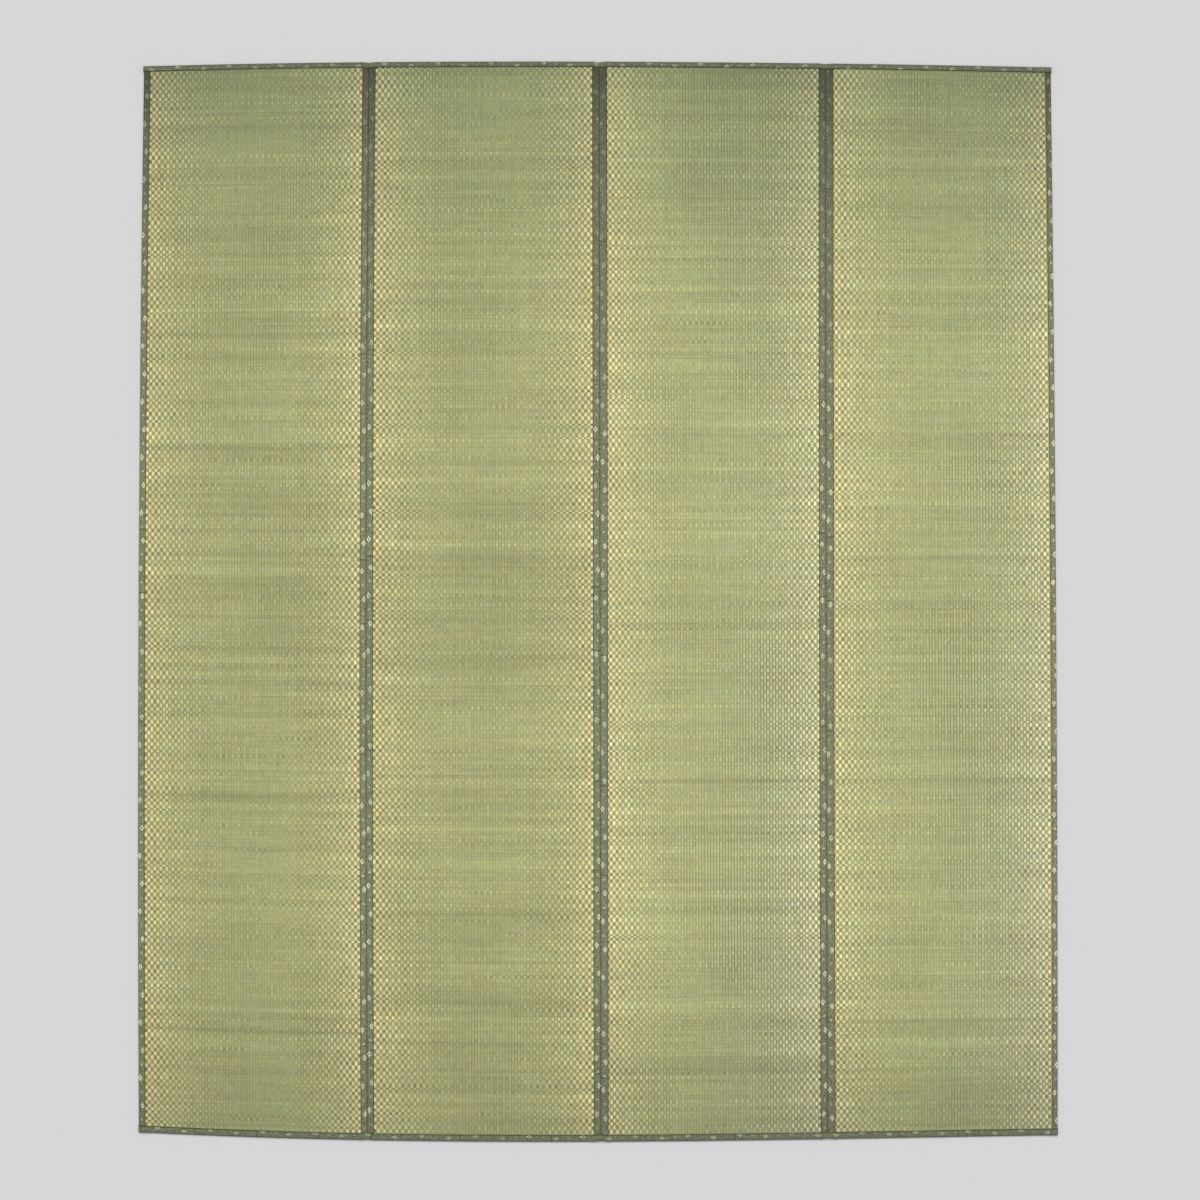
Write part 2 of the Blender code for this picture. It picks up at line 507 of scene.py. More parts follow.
@dataclass(frozen=True)
class TapeFinish:
    """Woven cloth tape with a repeat of open diamonds, and a small solid one halfway between two.

    Sizes are in metres. An edge of a diamond is given in shares of the way from its middle to its
    outline, and drifts, faint patches and creases by how many there are to a metre.
    """

    name: str = "side_tape_cloth"
    ground: Colour = (128, 132, 100)
    motif: Colour = (226, 229, 192)
    roughness: float = 0.86
    pitch: float = 0.1076
    zigzag: float = 0.0042
    drift: float = 0.006
    drifts: float = 0.9
    diamond: Range = (0.0075, 0.0123)
    outer_edge: Range = (1.08, 0.98)
    inner_edge: Range = (0.42, 0.54)
    heart_edge: Range = (0.26, 0.14)
    heart_share: float = 0.50
    small: Range = (0.0052, 0.0072)
    small_edge: Range = (1.1, 0.8)
    small_share: float = 0.42
    luck: Range = (0.75, 1.0)
    faints: float = 1.7
    faint_part: Range = (0.30, 0.48)
    faint_share: float = 0.35
    thread: Range = (0.0008, 0.0011)
    thread_luck: Range = (0.70, 1.30)
    # Painted shade between the cloth's threads
    thread_edge: Range = (1.06, 0.86)
    thread_edge_at: Range = (0.30, 0.5)
    slub_threads: int = 3
    slub_luck: Range = (0.60, 1.40)
    patch: Patches = Patches(240.0, 240.0, detail=2.0)
    patch_share: Range = (0.0, 2.0)
    stretch: float = 9.0
    stretch_share: Range = (0.86, 1.14)
    # Painted shadow along the upper leaf's edge, next to the rush, and painted shade along the fold and in
    # the creases
    rim_shade: float = 0.32
    rim_wide: float = 0.0048
    fold_shade: float = 0.76
    fold_at: Range = (0.0045, 0.0015)
    creases: float = 2.6
    crease_place: Range = (0.1, 0.9)
    crease_half: Range = (0.0030, 0.0012)
    crease_shade: float = 0.62
    relief: float = 0.00012


END_CLOTH = TapeFinish(
    name="end_tape_cloth",
    ground=(112, 116, 91),
    motif=(184, 188, 154),
    pitch=0.1012,
    zigzag=0.0036,
    diamond=(0.0060, 0.0115),
    small=(0.0034, 0.0058),
    # A deeper painted shadow along the upper leaf's edge, and deeper painted shade along the fold
    rim_shade=0.16,
    rim_wide=0.0052,
    fold_shade=0.52,
)


@dataclass(frozen=True)
class ThreadFinish:
    """Sewing thread, a little glossier than the tape. Patches and twist are counted in a metre."""

    colour: Colour = (76, 79, 56)
    worn: Colour = (98, 101, 76)
    worn_part: Range = (0.35, 0.65)
    worn_patches: Patches = Patches(60.0, 60.0, detail=2.0)
    twist: float = 2500.0
    relief: float = 0.00004
    roughness: float = 0.6


@dataclass(frozen=True)
class FloorFinish:
    """A plain pale floor."""

    colour: Colour = (216, 214, 215)
    roughness: float = 0.95


class NodeGraph:
    """The nodes of one new material, added and joined by short calls."""

    def __init__(self, name: str) -> None:
        """Starts a material with its plain shader.

        Args:
            name: The material's name.
        """
        self.material = bpy.data.materials.new(name)
        self.material.use_nodes = True
        self.tree = self.material.node_tree
        self.shader = self.tree.nodes["Principled BSDF"]

    def feed(self, socket: Wire, value: Feed) -> None:
        """Joins a wire to a socket, or sets the socket to a value."""
        if isinstance(value, bpy.types.NodeSocket):
            self.tree.links.new(value, socket)
        else:
            socket.default_value = value

    def add(
        self,
        kind: str,
        feeds: dict[int | str, Feed] | None = None,
        **settings: object,
    ) -> bpy.types.Node:
        """Adds one node.

        Args:
            kind: The node's type.
            feeds: What goes into its inputs, by their number or name.
            **settings: The node's own settings.

        Returns:
            The node.
        """
        node = self.tree.nodes.new(kind)
        for name, value in settings.items():
            setattr(node, name, value)
        for key, value in (feeds or {}).items():
            self.feed(node.inputs[key], value)
        return node

    def math(self, operation: str, *values: Feed) -> Wire:
        """Works out one step of arithmetic."""
        return self.add("ShaderNodeMath", dict(enumerate(values)), operation=operation).outputs[0]

    def times(self, *values: Feed) -> Wire:
        """Multiplies two or more values."""
        product = values[0]
        for value in values[1:]:
            product = self.math("MULTIPLY", product, value)
        return product

    def swing(self, value: Wire, low: float, high: float) -> Wire:
        """Stretches a value that runs from 0 to 1 so that it runs from low to high."""
        return self.math("MULTIPLY_ADD", value, high - low, low)

    def rise(self, value: Wire, start: float, end: float) -> Wire:
        """Runs smoothly from 0 at start to 1 at end, or the other way where end is the smaller."""
        low, high = min(start, end), max(start, end)
        feeds = {"Value": value, "From Min": low, "From Max": high}
        feeds |= {"To Min": float(start > end), "To Max": float(start < end)}
        return self.add("ShaderNodeMapRange", feeds, interpolation_type="SMOOTHSTEP").outputs[0]

    def blend(self, share: Feed, first: Feed, second: Feed) -> Wire:
        """Mixes two colours."""
        feeds = {0: share, 6: first, 7: second}
        return self.add("ShaderNodeMix", feeds, data_type="RGBA", clamp_factor=True).outputs[2]

    def dim(self, colour: Wire, share: Wire) -> Wire:
        """Multiplies a colour by one number."""
        return self.add("ShaderNodeVectorMath", {0: colour, 3: share}, operation="SCALE").outputs[0]

    def tint(self, colour: Wire, tint: Tint) -> Wire:
        """Multiplies a colour's three parts, each by its own number."""
        feeds = {0: colour, 1: tint}
        return self.add("ShaderNodeVectorMath", feeds, operation="MULTIPLY").outputs[0]

    def off_middle(self, value: Wire) -> Wire:
        """How far a value is from the middle between its two whole numbers, from 0 to 0.5."""
        return self.math("ABSOLUTE", self.math("SUBTRACT", self.math("FRACT", value), 0.5))

    def join(self, x: Feed, y: Feed, z: Feed = 0.0) -> Wire:
        """Makes a vector of three numbers."""
        return self.add("ShaderNodeCombineXYZ", {0: x, 1: y, 2: z}).outputs[0]

    def speck(self, x: Feed, y: Feed, z: Feed = 0.0) -> Wire:
        """A value from 0 to 1 that is unlike from one whole number to the next."""
        return self.add("ShaderNodeTexWhiteNoise", {"Vector": self.join(x, y, z)}).outputs[0]

    def cloud(self, x: Feed, y: Feed, z: Feed = 0.0, detail: float = 1.0) -> Wire:
        """A value that changes smoothly over about one unit, mostly between 0.3 and 0.7."""
        feeds = {"Vector": self.join(x, y, z), "Scale": 1.0, "Detail": detail}
        return self.add("ShaderNodeTexNoise", feeds).outputs[0]

    def patches(self, across: Wire, along: Wire, patches: Patches) -> Wire:
        """Softly uneven patches of their own size."""
        x, y = self.times(across, patches.across), self.times(along, patches.along)
        return self.cloud(x, y, patches.seed, patches.detail)

    def map_place(self, name: str) -> tuple[Wire, Wire]:
        """Reads a place on one of the piece's maps.

        Args:
            name: The map's name.

        Returns:
            The two numbers of the place.
        """
        place = self.add("ShaderNodeUVMap", uv_map=name).outputs[0]
        parts = self.add("ShaderNodeSeparateXYZ", {0: place}).outputs
        return parts[0], parts[1]

    def attribute(self, name: str) -> Wire:
        """Reads a number that the piece holds at each of its points."""
        return self.add("ShaderNodeAttribute", attribute_name=name).outputs["Fac"]

    def bump(self, height: Wire) -> None:
        """Gives the shader a fine relief, in metres."""
        node = self.add("ShaderNodeBump", {"Strength": 1.0, "Distance": 1.0, "Height": height})
        self.feed(self.shader.inputs["Normal"], node.outputs[0])


@dataclass(frozen=True)
class Cell:
    """The wires that say where in the weave a place is."""

    across: Wire
    along: Wire
    column: Wire
    row: Wire
    off_column: Wire
    off_row: Wire
    outward: Wire
    near_side: Wire

    @classmethod
    def of(cls, graph: NodeGraph, finish: RushFinish) -> "Cell":
        """Reads them from the strip's weave map, which counts cells."""
        across, along = graph.map_place(WEAVE_MAP)
        far_side = graph.math("SUBTRACT", float(finish.columns), across)
        inward = graph.math("DIVIDE", graph.math("MINIMUM", across, far_side), finish.columns / 2)
        outward = graph.math("SUBTRACT", 1.0, inward)
        near_side = graph.math("POWER", outward, finish.fade_power)
        column, row = graph.math("FLOOR", across), graph.math("FLOOR", along)
        off_column, off_row = graph.off_middle(across), graph.off_middle(along)
        return cls(across, along, column, row, off_column, off_row, outward, near_side)


def checked_colour(graph: NodeGraph, cell: Cell, finish: CheckFinish) -> Wire:
    """Makes the two kinds of cell, pale and green by turns, which differ most near the long sides.

    Args:
        graph: The rush's nodes.
        cell: Where in the weave a place is.
        finish: The cells' colours.

    Returns:
        The colour, before the strands are shaded.
    """
    odd = graph.math("MODULO", graph.math("ADD", cell.column, cell.row), 2.0)
    uneven = graph.patches(cell.across, cell.along, finish.uneven_patches)
    strength = graph.times(cell.near_side, graph.swing(uneven, *finish.uneven))
    colours = []
    pairs = (
        (finish.middle_green, finish.side_green),
        (finish.middle_pale, finish.side_pale),
        (finish.middle_between, finish.side_between),
    )
    for middle, side in pairs:
        colours.append(graph.blend(strength, linear(middle), linear(side)))
    green, pale, between = colours

    # Here and there a row is of browner rush, over a part of the strip's width
    brown_part = graph.rise(graph.patches(cell.across, cell.row, finish.brown_patches), *finish.brown_part)
    brown_row = graph.times(graph.rise(graph.speck(cell.row, 11.0), *finish.brown_rows), brown_part)
    green = graph.blend(graph.times(brown_row, finish.brown_share), green, linear(finish.brown))

    # Towards the middle of the strip only some rows show their cells, over a part of its width
    row_part = graph.rise(graph.patches(cell.across, cell.row, finish.shown_patches), *finish.shown_part)
    row_shown = graph.times(graph.rise(graph.speck(cell.row, 21.0), *finish.shown_rows), row_part)
    shown = graph.math("MAXIMUM", graph.rise(cell.outward, *finish.shown_outward), row_shown)

    # Every cell is an upright oval: narrow in the middle of the strip, and full near its sides
    wide = graph.swing(cell.near_side, *finish.oval_wide)
    off_column = graph.math("POWER", graph.math("DIVIDE", cell.off_column, wide), finish.oval_power)
    off_row = graph.math("DIVIDE", cell.off_row, finish.oval_long)
    off_row = graph.math("POWER", off_row, finish.oval_power)
    oval = graph.rise(graph.math("ADD", off_column, off_row), *finish.oval_edge)
    luck = graph.swing(graph.speck(cell.column, cell.row), *finish.luck)
    return graph.blend(graph.times(oval, luck, shown), between, graph.blend(odd, green, pale))


@dataclass(frozen=True)
class Strands:
    """The wires that say how the strands in a row of rush lie: their luck, and their edges."""

    luck: Wire
    edge: Wire
    column_edge: Wire

    @classmethod
    def of(cls, graph: NodeGraph, cell: Cell, finish: StrandFinish) -> "Strands":
        """Works them out: each row is a bundle of strands, and each strand has a luck of its own."""
        place = graph.times(cell.along, float(finish.strands))
        luck = graph.patches(cell.across, graph.math("FLOOR", place), finish.strand_patches)
        edge = graph.rise(graph.off_middle(place), *finish.strand_edge_at)
        return cls(luck, edge, graph.rise(cell.off_column, *finish.column_edge_at))


def warp_line(graph: NodeGraph, cell: Cell, pale: Wire, finish: StrandFinish) -> Wire:
    """How much the warp shows between two columns: in parts of the strip, and where it is bleached."""
    part = graph.rise(graph.patches(cell.across, cell.along, finish.warp_patches), *finish.warp_part)
    show = graph.math("MULTIPLY_ADD", pale, finish.warp_where_pale, graph.swing(part, *finish.warp_show))
    show = graph.times(show, graph.swing(cell.near_side, 1.0, finish.warp_near_side))
    return graph.times(graph.rise(cell.off_column, *finish.warp_at), show)


def shaded_colour(
    graph: NodeGraph,
    cell: Cell,
    strands: Strands,
    pale: Wire,
    colour: Wire,
    finish: StrandFinish,
) -> Wire:
    """Shades the cells' colour by strand, row, column and warp.

    Args:
        graph: The rush's nodes.
        cell: Where in the weave a place is.
        strands: How the strands lie there.
        pale: How bleached the rush is there.
        colour: The cells' colour.
        finish: How much light each of them gives back.

    Returns:
        The shaded colour.
    """
    broad = graph.patches(cell.across, cell.along, finish.broad_patches)
    # The tone attribute holds the strip's own lightness, painted shade towards the ends and the painted light
    # and shade of its bands
    dims = (
        graph.attribute(TONE_AND_SHADE),
        graph.swing(cell.near_side, *finish.near_side),
        graph.swing(strands.luck, *finish.strand),
        graph.swing(graph.speck(cell.row, 3.0), *finish.row),
        graph.swing(graph.speck(cell.column, cell.row, 5.0), *finish.cell),
        graph.swing(graph.speck(cell.column, 7.0), *finish.column),
        graph.swing(broad, *finish.broad),
        # Painted shade in the grooves between strands and between columns
        graph.swing(strands.edge, *finish.strand_groove_shade),
        graph.swing(strands.column_edge, *finish.column_edge),
        graph.swing(warp_line(graph, cell, pale, finish), *finish.warp),
        # Painted shade in the grooves between rows
        graph.swing(graph.rise(cell.off_row, *finish.row_edge_at), *finish.row_groove_shade),
    )
    return graph.dim(colour, graph.times(*dims))


def tinted_colour(graph: NodeGraph, cell: Cell, pale: Wire, colour: Wire, finish: HueFinish) -> Wire:
    """Tints the rush where it is greener, warmer, fresh or bleached, and next to its tapes.

    Args:
        graph: The rush's nodes.
        cell: Where in the weave a place is.
        pale: How bleached the rush is there.
        colour: The shaded colour.
        finish: The tints.

    Returns:
        The tinted colour.
    """
    # Groups of rows, and pairs of cells, are a little warmer or greener than others
    warm = graph.rise(graph.patches(cell.across, cell.along, finish.row_patches), *finish.row_part)
    green_rows, warm_rows = graph.tint(colour, finish.green_rows), graph.tint(colour, finish.warm_rows)
    colour = graph.blend(warm, green_rows, warm_rows)
    cell_pair = graph.math("FLOOR", graph.times(cell.across, 0.5))
    cool = graph.speck(cell_pair, cell.row, 9.0)
    warm_cells, cool_cells = graph.tint(colour, finish.warm_cells), graph.tint(colour, finish.cool_cells)
    colour = graph.blend(cool, warm_cells, cool_cells)

    # Where each of the other tints lies, from the whole strip to its last column
    rim = graph.math("POWER", cell.near_side, finish.rim_power)
    left_rim = graph.times(rim, graph.rise(cell.across, *finish.left_rim_columns))
    right_rim = graph.times(rim, graph.rise(cell.across, *finish.right_rim_columns))
    places = (
        (finish.fresh, graph.attribute(FRESH)),
        (finish.left_rim, left_rim),
        (finish.right_rim, graph.times(right_rim, graph.math("SUBTRACT", 1.0, pale))),
        (finish.bleached, pale),
        (finish.last_column, graph.rise(cell.across, *finish.last_columns)),
    )
    for tint, where in places:
        colour = graph.blend(where, colour, graph.tint(colour, tint))
    return colour


def rush_material(finish: RushFinish) -> bpy.types.Material:
    """Makes the woven rush, which reads the strip's weave map, its tone and how green and pale it is.

    Args:
        finish: The rush's colours and weave.

    Returns:
        The material.
    """
    graph = NodeGraph("woven_rush")
    cell = Cell.of(graph, finish)
    strands = Strands.of(graph, cell, finish.strands)
    pale = graph.attribute(PALE)
    colour = checked_colour(graph, cell, finish.checks)
    colour = shaded_colour(graph, cell, strands, pale, colour, finish.strands)
    colour = tinted_colour(graph, cell, pale, colour, finish.hues)
    graph.feed(graph.shader.inputs["Base Color"], colour)
    graph.feed(graph.shader.inputs["Roughness"], graph.swing(strands.luck, *finish.roughness))
    strand_round = graph.times(graph.math("SUBTRACT", 1.0, strands.edge), finish.strand_relief)
    graph.bump(graph.math("ADD", strand_round, graph.times(strands.column_edge, finish.column_dip)))
    return graph.material


def diamond_share(graph: NodeGraph, off: Wire, along: Wire, half: Range) -> Wire:
    """How far a place is from a diamond's middle, as a share of the way to its outline."""
    wide = graph.math("DIVIDE", graph.math("ABSOLUTE", off), half[0])
    long = graph.math("DIVIDE", graph.math("ABSOLUTE", along), half[1])
    return graph.math("ADD", wide, long)


def tape_material(finish: TapeFinish) -> bpy.types.Material:
    """Makes the tape's cloth, which reads its map in metres: from the upper leaf's edge, and along it.

    Args:
        finish: The tape's colours and repeat.

    Returns:
        The material.
    """
    graph = NodeGraph(finish.name)
    over, along = graph.map_place(CLOTH_MAP)
    warp = graph.math("FLOOR", graph.math("DIVIDE", over, finish.thread[0]))
    weft = graph.math("FLOOR", graph.math("DIVIDE", along, finish.thread[1]))
    stepped_over = graph.times(graph.math("ADD", warp, 0.5), finish.thread[0])
    stepped_along = graph.times(graph.math("ADD", weft, 0.5), finish.thread[1])

    # Large open diamonds stand by turns nearer to one edge and to the other
    turn = graph.math("DIVIDE", stepped_along, finish.pitch)
    number = graph.math("ROUND", turn)
    side = graph.swing(graph.math("FLOORED_MODULO", number, 2.0), -finish.zigzag, finish.zigzag)
    drift = graph.swing(graph.cloud(graph.times(along, finish.drifts), 4.0), -finish.drift, finish.drift)
    from_line = graph.math("SUBTRACT", stepped_over, graph.attribute(MOTIF_LINE))
    from_middle = graph.math("SUBTRACT", from_line, drift)
    past = graph.times(graph.math("SUBTRACT", turn, number), finish.pitch)
    large = diamond_share(graph, graph.math("SUBTRACT", from_middle, side), past, finish.diamond)
    outline = graph.times(graph.rise(large, *finish.outer_edge), graph.rise(large, *finish.inner_edge))
    heart = graph.times(graph.rise(large, *finish.heart_edge), finish.heart_share)

    # A small solid diamond stands halfway between two large ones
    between = graph.times(graph.math("SUBTRACT", graph.math("FRACT", turn), 0.5), finish.pitch)
    small = graph.rise(diamond_share(graph, from_middle, between, finish.small), *finish.small_edge)
    faint = graph.rise(graph.cloud(graph.times(along, finish.faints), 1.0, detail=2.0), *finish.faint_part)
    luck = graph.swing(graph.speck(number, 5.0), *finish.luck)
    small = graph.times(small, finish.small_share)
    drawn = graph.math("ADD", graph.math("MAXIMUM", outline, heart), small)
    drawn = graph.times(drawn, graph.swing(faint, finish.faint_share, 1.0), luck, graph.attribute(DRAWN))
    colour = graph.blend(drawn, linear(finish.ground), linear(finish.motif))

    # The cloth's threads with painted shade between them, painted shade in its creases, and painted shadow at
    # its edge and painted shade along its fold
    off_warp = graph.off_middle(graph.math("DIVIDE", over, finish.thread[0]))
    off_weft = graph.off_middle(graph.math("DIVIDE", along, finish.thread[1]))
    thread_edge = graph.rise(graph.math("MAXIMUM", off_warp, off_weft), *finish.thread_edge_at)
    slub_over = graph.math("FLOOR", graph.math("DIVIDE", over, finish.slub_threads * finish.thread[0]))
    slub_along = graph.math("FLOOR", graph.math("DIVIDE", along, finish.slub_threads * finish.thread[1]))
    from_fold = graph.math("SUBTRACT", graph.attribute(REACH), over)
    crease_turn = graph.times(along, finish.creases)
    crease_luck = graph.speck(graph.math("FLOOR", crease_turn), 8.0)
    crease_place = graph.swing(crease_luck, *finish.crease_place)
    crease_off = graph.math("SUBTRACT", graph.math("FRACT", crease_turn), crease_place)
    outer_half, inner_half = (half * finish.creases for half in finish.crease_half)
    crease_shade_mask = graph.rise(graph.math("ABSOLUTE", crease_off), outer_half, inner_half)
    stretches = graph.cloud(graph.times(along, finish.stretch), 2.0)
    dims = (
        # The tone attribute: the tape's own lightness, with painted shade towards the ends of a side tape
        graph.attribute(TONE_AND_SHADE),
        # Painted shade in the creases
        graph.swing(crease_shade_mask, 1.0, finish.crease_shade),
        graph.swing(graph.speck(warp, weft), *finish.thread_luck),
        graph.swing(graph.speck(slub_over, slub_along, 3.0), *finish.slub_luck),
        # Painted shade between the threads
        graph.swing(thread_edge, *finish.thread_edge),
        graph.swing(graph.patches(over, along, finish.patch), *finish.patch_share),
        graph.swing(stretches, *finish.stretch_share),
        # Painted shadow along the upper leaf's edge
        graph.swing(graph.rise(over, 0.0, finish.rim_wide), finish.rim_shade, 1.0),
        # Painted shade along the fold
        graph.swing(graph.rise(from_fold, *finish.fold_at), 1.0, finish.fold_shade),
    )
    graph.feed(graph.shader.inputs["Base Color"], graph.dim(colour, graph.times(*dims)))
    graph.shader.inputs["Roughness"].default_value = finish.roughness
    thread_round = graph.times(graph.math("SUBTRACT", 1.0, thread_edge), finish.relief)
    graph.bump(graph.math("ADD", thread_round, graph.times(drawn, finish.relief)))
    return graph.material


def thread_material(finish: ThreadFinish) -> bpy.types.Material:
    """Makes the sewing thread, twisted and a little worn.

    Args:
        finish: The thread's colours.

    Returns:
        The material.
    """
    graph = NodeGraph("sewing_thread")
    place = graph.add("ShaderNodeTexCoord").outputs["Object"]
    parts = graph.add("ShaderNodeSeparateXYZ", {0: place}).outputs
    worn = graph.rise(graph.patches(parts[0], parts[1], finish.worn_patches), *finish.worn_part)
    colour = graph.blend(worn, linear(finish.colour), linear(finish.worn))
    graph.feed(graph.shader.inputs["Base Color"], colour)
    graph.shader.inputs["Roughness"].default_value = finish.roughness
    slant = graph.math("ADD", graph.times(parts[0], finish.twist), graph.times(parts[1], finish.twist))
    graph.bump(graph.times(graph.math("SINE", slant), finish.relief))
    return graph.material


def floor_material(finish: FloorFinish) -> bpy.types.Material:
    """Makes the plain floor."""
    graph = NodeGraph("pale_floor")
    graph.shader.inputs["Base Color"].default_value = linear(finish.colour)
    graph.shader.inputs["Roughness"].default_value = finish.roughness
    graph.shader.inputs["Specular IOR Level"].default_value = 0.0
    return graph.material


# Meshes


def new_piece(name: str, mesh: bpy.types.Mesh, material: bpy.types.Material) -> bpy.types.Object:
    """Puts a finished mesh in the scene as a piece of the carpet.

    Args:
        name: The piece's name.
        mesh: Its mesh, in place.
        material: What it is made of.

    Returns:
        The piece.
    """
    mesh.materials.append(material)
    piece = bpy.data.objects.new(name, mesh)
    bpy.context.scene.collection.objects.link(piece)
    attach(piece, "root")
    return piece


def points_of(mesh: bpy.types.Mesh) -> np.ndarray:
    """Reads a mesh's points, one row for each."""
    points = np.empty(len(mesh.vertices) * 3, np.float32)
    mesh.vertices.foreach_get("co", points)
    return points.reshape(-1, 3).astype(float)


def set_points(mesh: bpy.types.Mesh, points: np.ndarray) -> None:
    """Moves a mesh's points."""
    mesh.vertices.foreach_set("co", points.astype(np.float32).ravel())
    mesh.update()


@dataclass(frozen=True)
class Corners:
    """The corners of a mesh's faces: the point and the face of each."""

    point: np.ndarray
    face: np.ndarray

    @classmethod
    def of(cls, mesh: bpy.types.Mesh) -> "Corners":
        """Reads them from a mesh."""
        point = np.empty(len(mesh.loops), np.int32)
        mesh.loops.foreach_get("vertex_index", point)
        count = np.empty(len(mesh.polygons), np.int32)
        mesh.polygons.foreach_get("loop_total", count)
        return cls(point, np.repeat(np.arange(len(count)), count))

    def face_mean(self, values: np.ndarray) -> np.ndarray:
        """Each corner's mean, over its face, of a value that is given for each point."""
        count = np.bincount(self.face)
        total = np.bincount(self.face, weights=values[self.point])
        return (total / count)[self.face]


def add_map(mesh: bpy.types.Mesh, name: str, across: np.ndarray, along: np.ndarray) -> None:
    """Gives a mesh a map, from two numbers for each corner."""
    layer = mesh.uv_layers.new(name=name)
    layer.uv.foreach_set("vector", np.stack([across, along], axis=-1).astype(np.float32).ravel())


def add_attribute(mesh: bpy.types.Mesh, name: str, values: np.ndarray) -> None:
    """Gives a mesh a number at each of its points."""
    attribute = mesh.attributes.new(name, "FLOAT", "POINT")
    attribute.data.foreach_set("value", values.astype(np.float32))


@dataclass(frozen=True)
class Band:
    """Rows of rush that are lighter or darker than the rest.

    Most of them are painted light and shade, as on the lit and shaded slopes of low waves across the
    rush. It says where they are along the carpet, by how many levels of brightness they differ, how
    often they come again, and how far off they fade, in metres.
    """

    at: float
    shade: float
    times: int = 1
    reach: float = 0.012


@dataclass(frozen=True)
class StripLook:
    """What is a strip's own: how light it is, how its ends darken, how bleached it is, and its bands.

    Its ends are darkened by painted shade, and its bands are mostly painted light and shade. Its lean
    is how much more the painted shade darkens the back end towards the strip's right side.
    """

    lift: float
    back_drop: float
    front_drop: float
    lean: float
    bleached: float
    bands: tuple[Band, ...]


FIRST_BANDS = (
    Band(1.87, -2, reach=0.08),
    Band(1.28, 2.5, reach=0.16),
    Band(-0.12, -4, reach=0.22),
    Band(-0.59, 4, reach=0.06),
    Band(-1.60, -2, reach=0.05),
    Band(1.81, -5),
    Band(1.70, 7),
    Band(1.62, -4),
    Band(1.11, 6, 3),
    Band(1.02, -8, 3),
    Band(0.96, 5, 3),
    Band(0.64, 5, 2),
    Band(0.59, -8, 2),
    Band(0.23, 5, 2),
    Band(0.12, 6, 2),
)
SECOND_BANDS = (
    Band(1.62, -2, reach=0.28),
    Band(0.82, 2.5, reach=0.15),
    Band(-0.05, -2.5, reach=0.30),
    Band(-0.66, 2.5, reach=0.14),
    Band(1.97, -6),
    Band(1.69, -4),
    Band(1.62, 6),
    Band(1.24, 5),
    Band(1.15, -7),
    Band(1.05, 7, 3),
    Band(0.66, -9, 2),
    Band(0.62, 7, 2),
    Band(0.53, -7, 2),
    Band(0.46, 7, 2),
    Band(0.22, 9, 2),
    Band(0.13, -8, 2),
    Band(-0.21, -7, 2),
    Band(-1.69, -8),
)
THIRD_BANDS = (
    Band(1.45, -2.5, reach=0.30),
    Band(-0.15, -2.5, reach=0.16),
    Band(-0.92, 3, reach=0.38),
    Band(-1.80, -2, reach=0.12),
    Band(1.69, 4),
    Band(1.20, 5),
    Band(1.05, -4, 3),
    Band(0.68, 6, 2),
    Band(0.64, -8, 2),
    Band(0.52, 4, 2),
    Band(0.45, -5, 2),
    Band(0.38, 4, 2),
    Band(0.17, -6, 2),
    Band(-0.01, -5, 2),
    Band(-1.54, 8),
    Band(-1.62, -5),
    Band(-1.70, 6),
    Band(-1.80, -7),
)
STRIP_LOOKS = (
    StripLook(-1, 28, 22, -0.2, 0.0, FIRST_BANDS),
    StripLook(1, 26, 19, 0.0, 0.0, SECOND_BANDS),
    StripLook(12, 40, 30, 0.5, 0.9, (*THIRD_BANDS, Band(-1.28, 3, reach=0.16))),
    StripLook(12, 40, 30, 0.5, 0.9, (*THIRD_BANDS, Band(1.55, -3, reach=0.30))),
)


@dataclass(frozen=True)
class StripBake:
    """Where the parts of a strip lie on its flat layout for baking, which is 1 wide and 1 long.

    The upper face is cut halfway along: its two halves lie side by side, then the lower face, then
    the rim's four sides, one after the other.
    """

    half_wide: float = 0.42
    back_half_at: float = 0.43
    lower_at: float = 0.86
    lower_wide: float = 0.12
    rim_at: float = 0.985
    rim_wide: float = 0.012
    rim_step: float = 0.25
    rim_long: float = 0.24


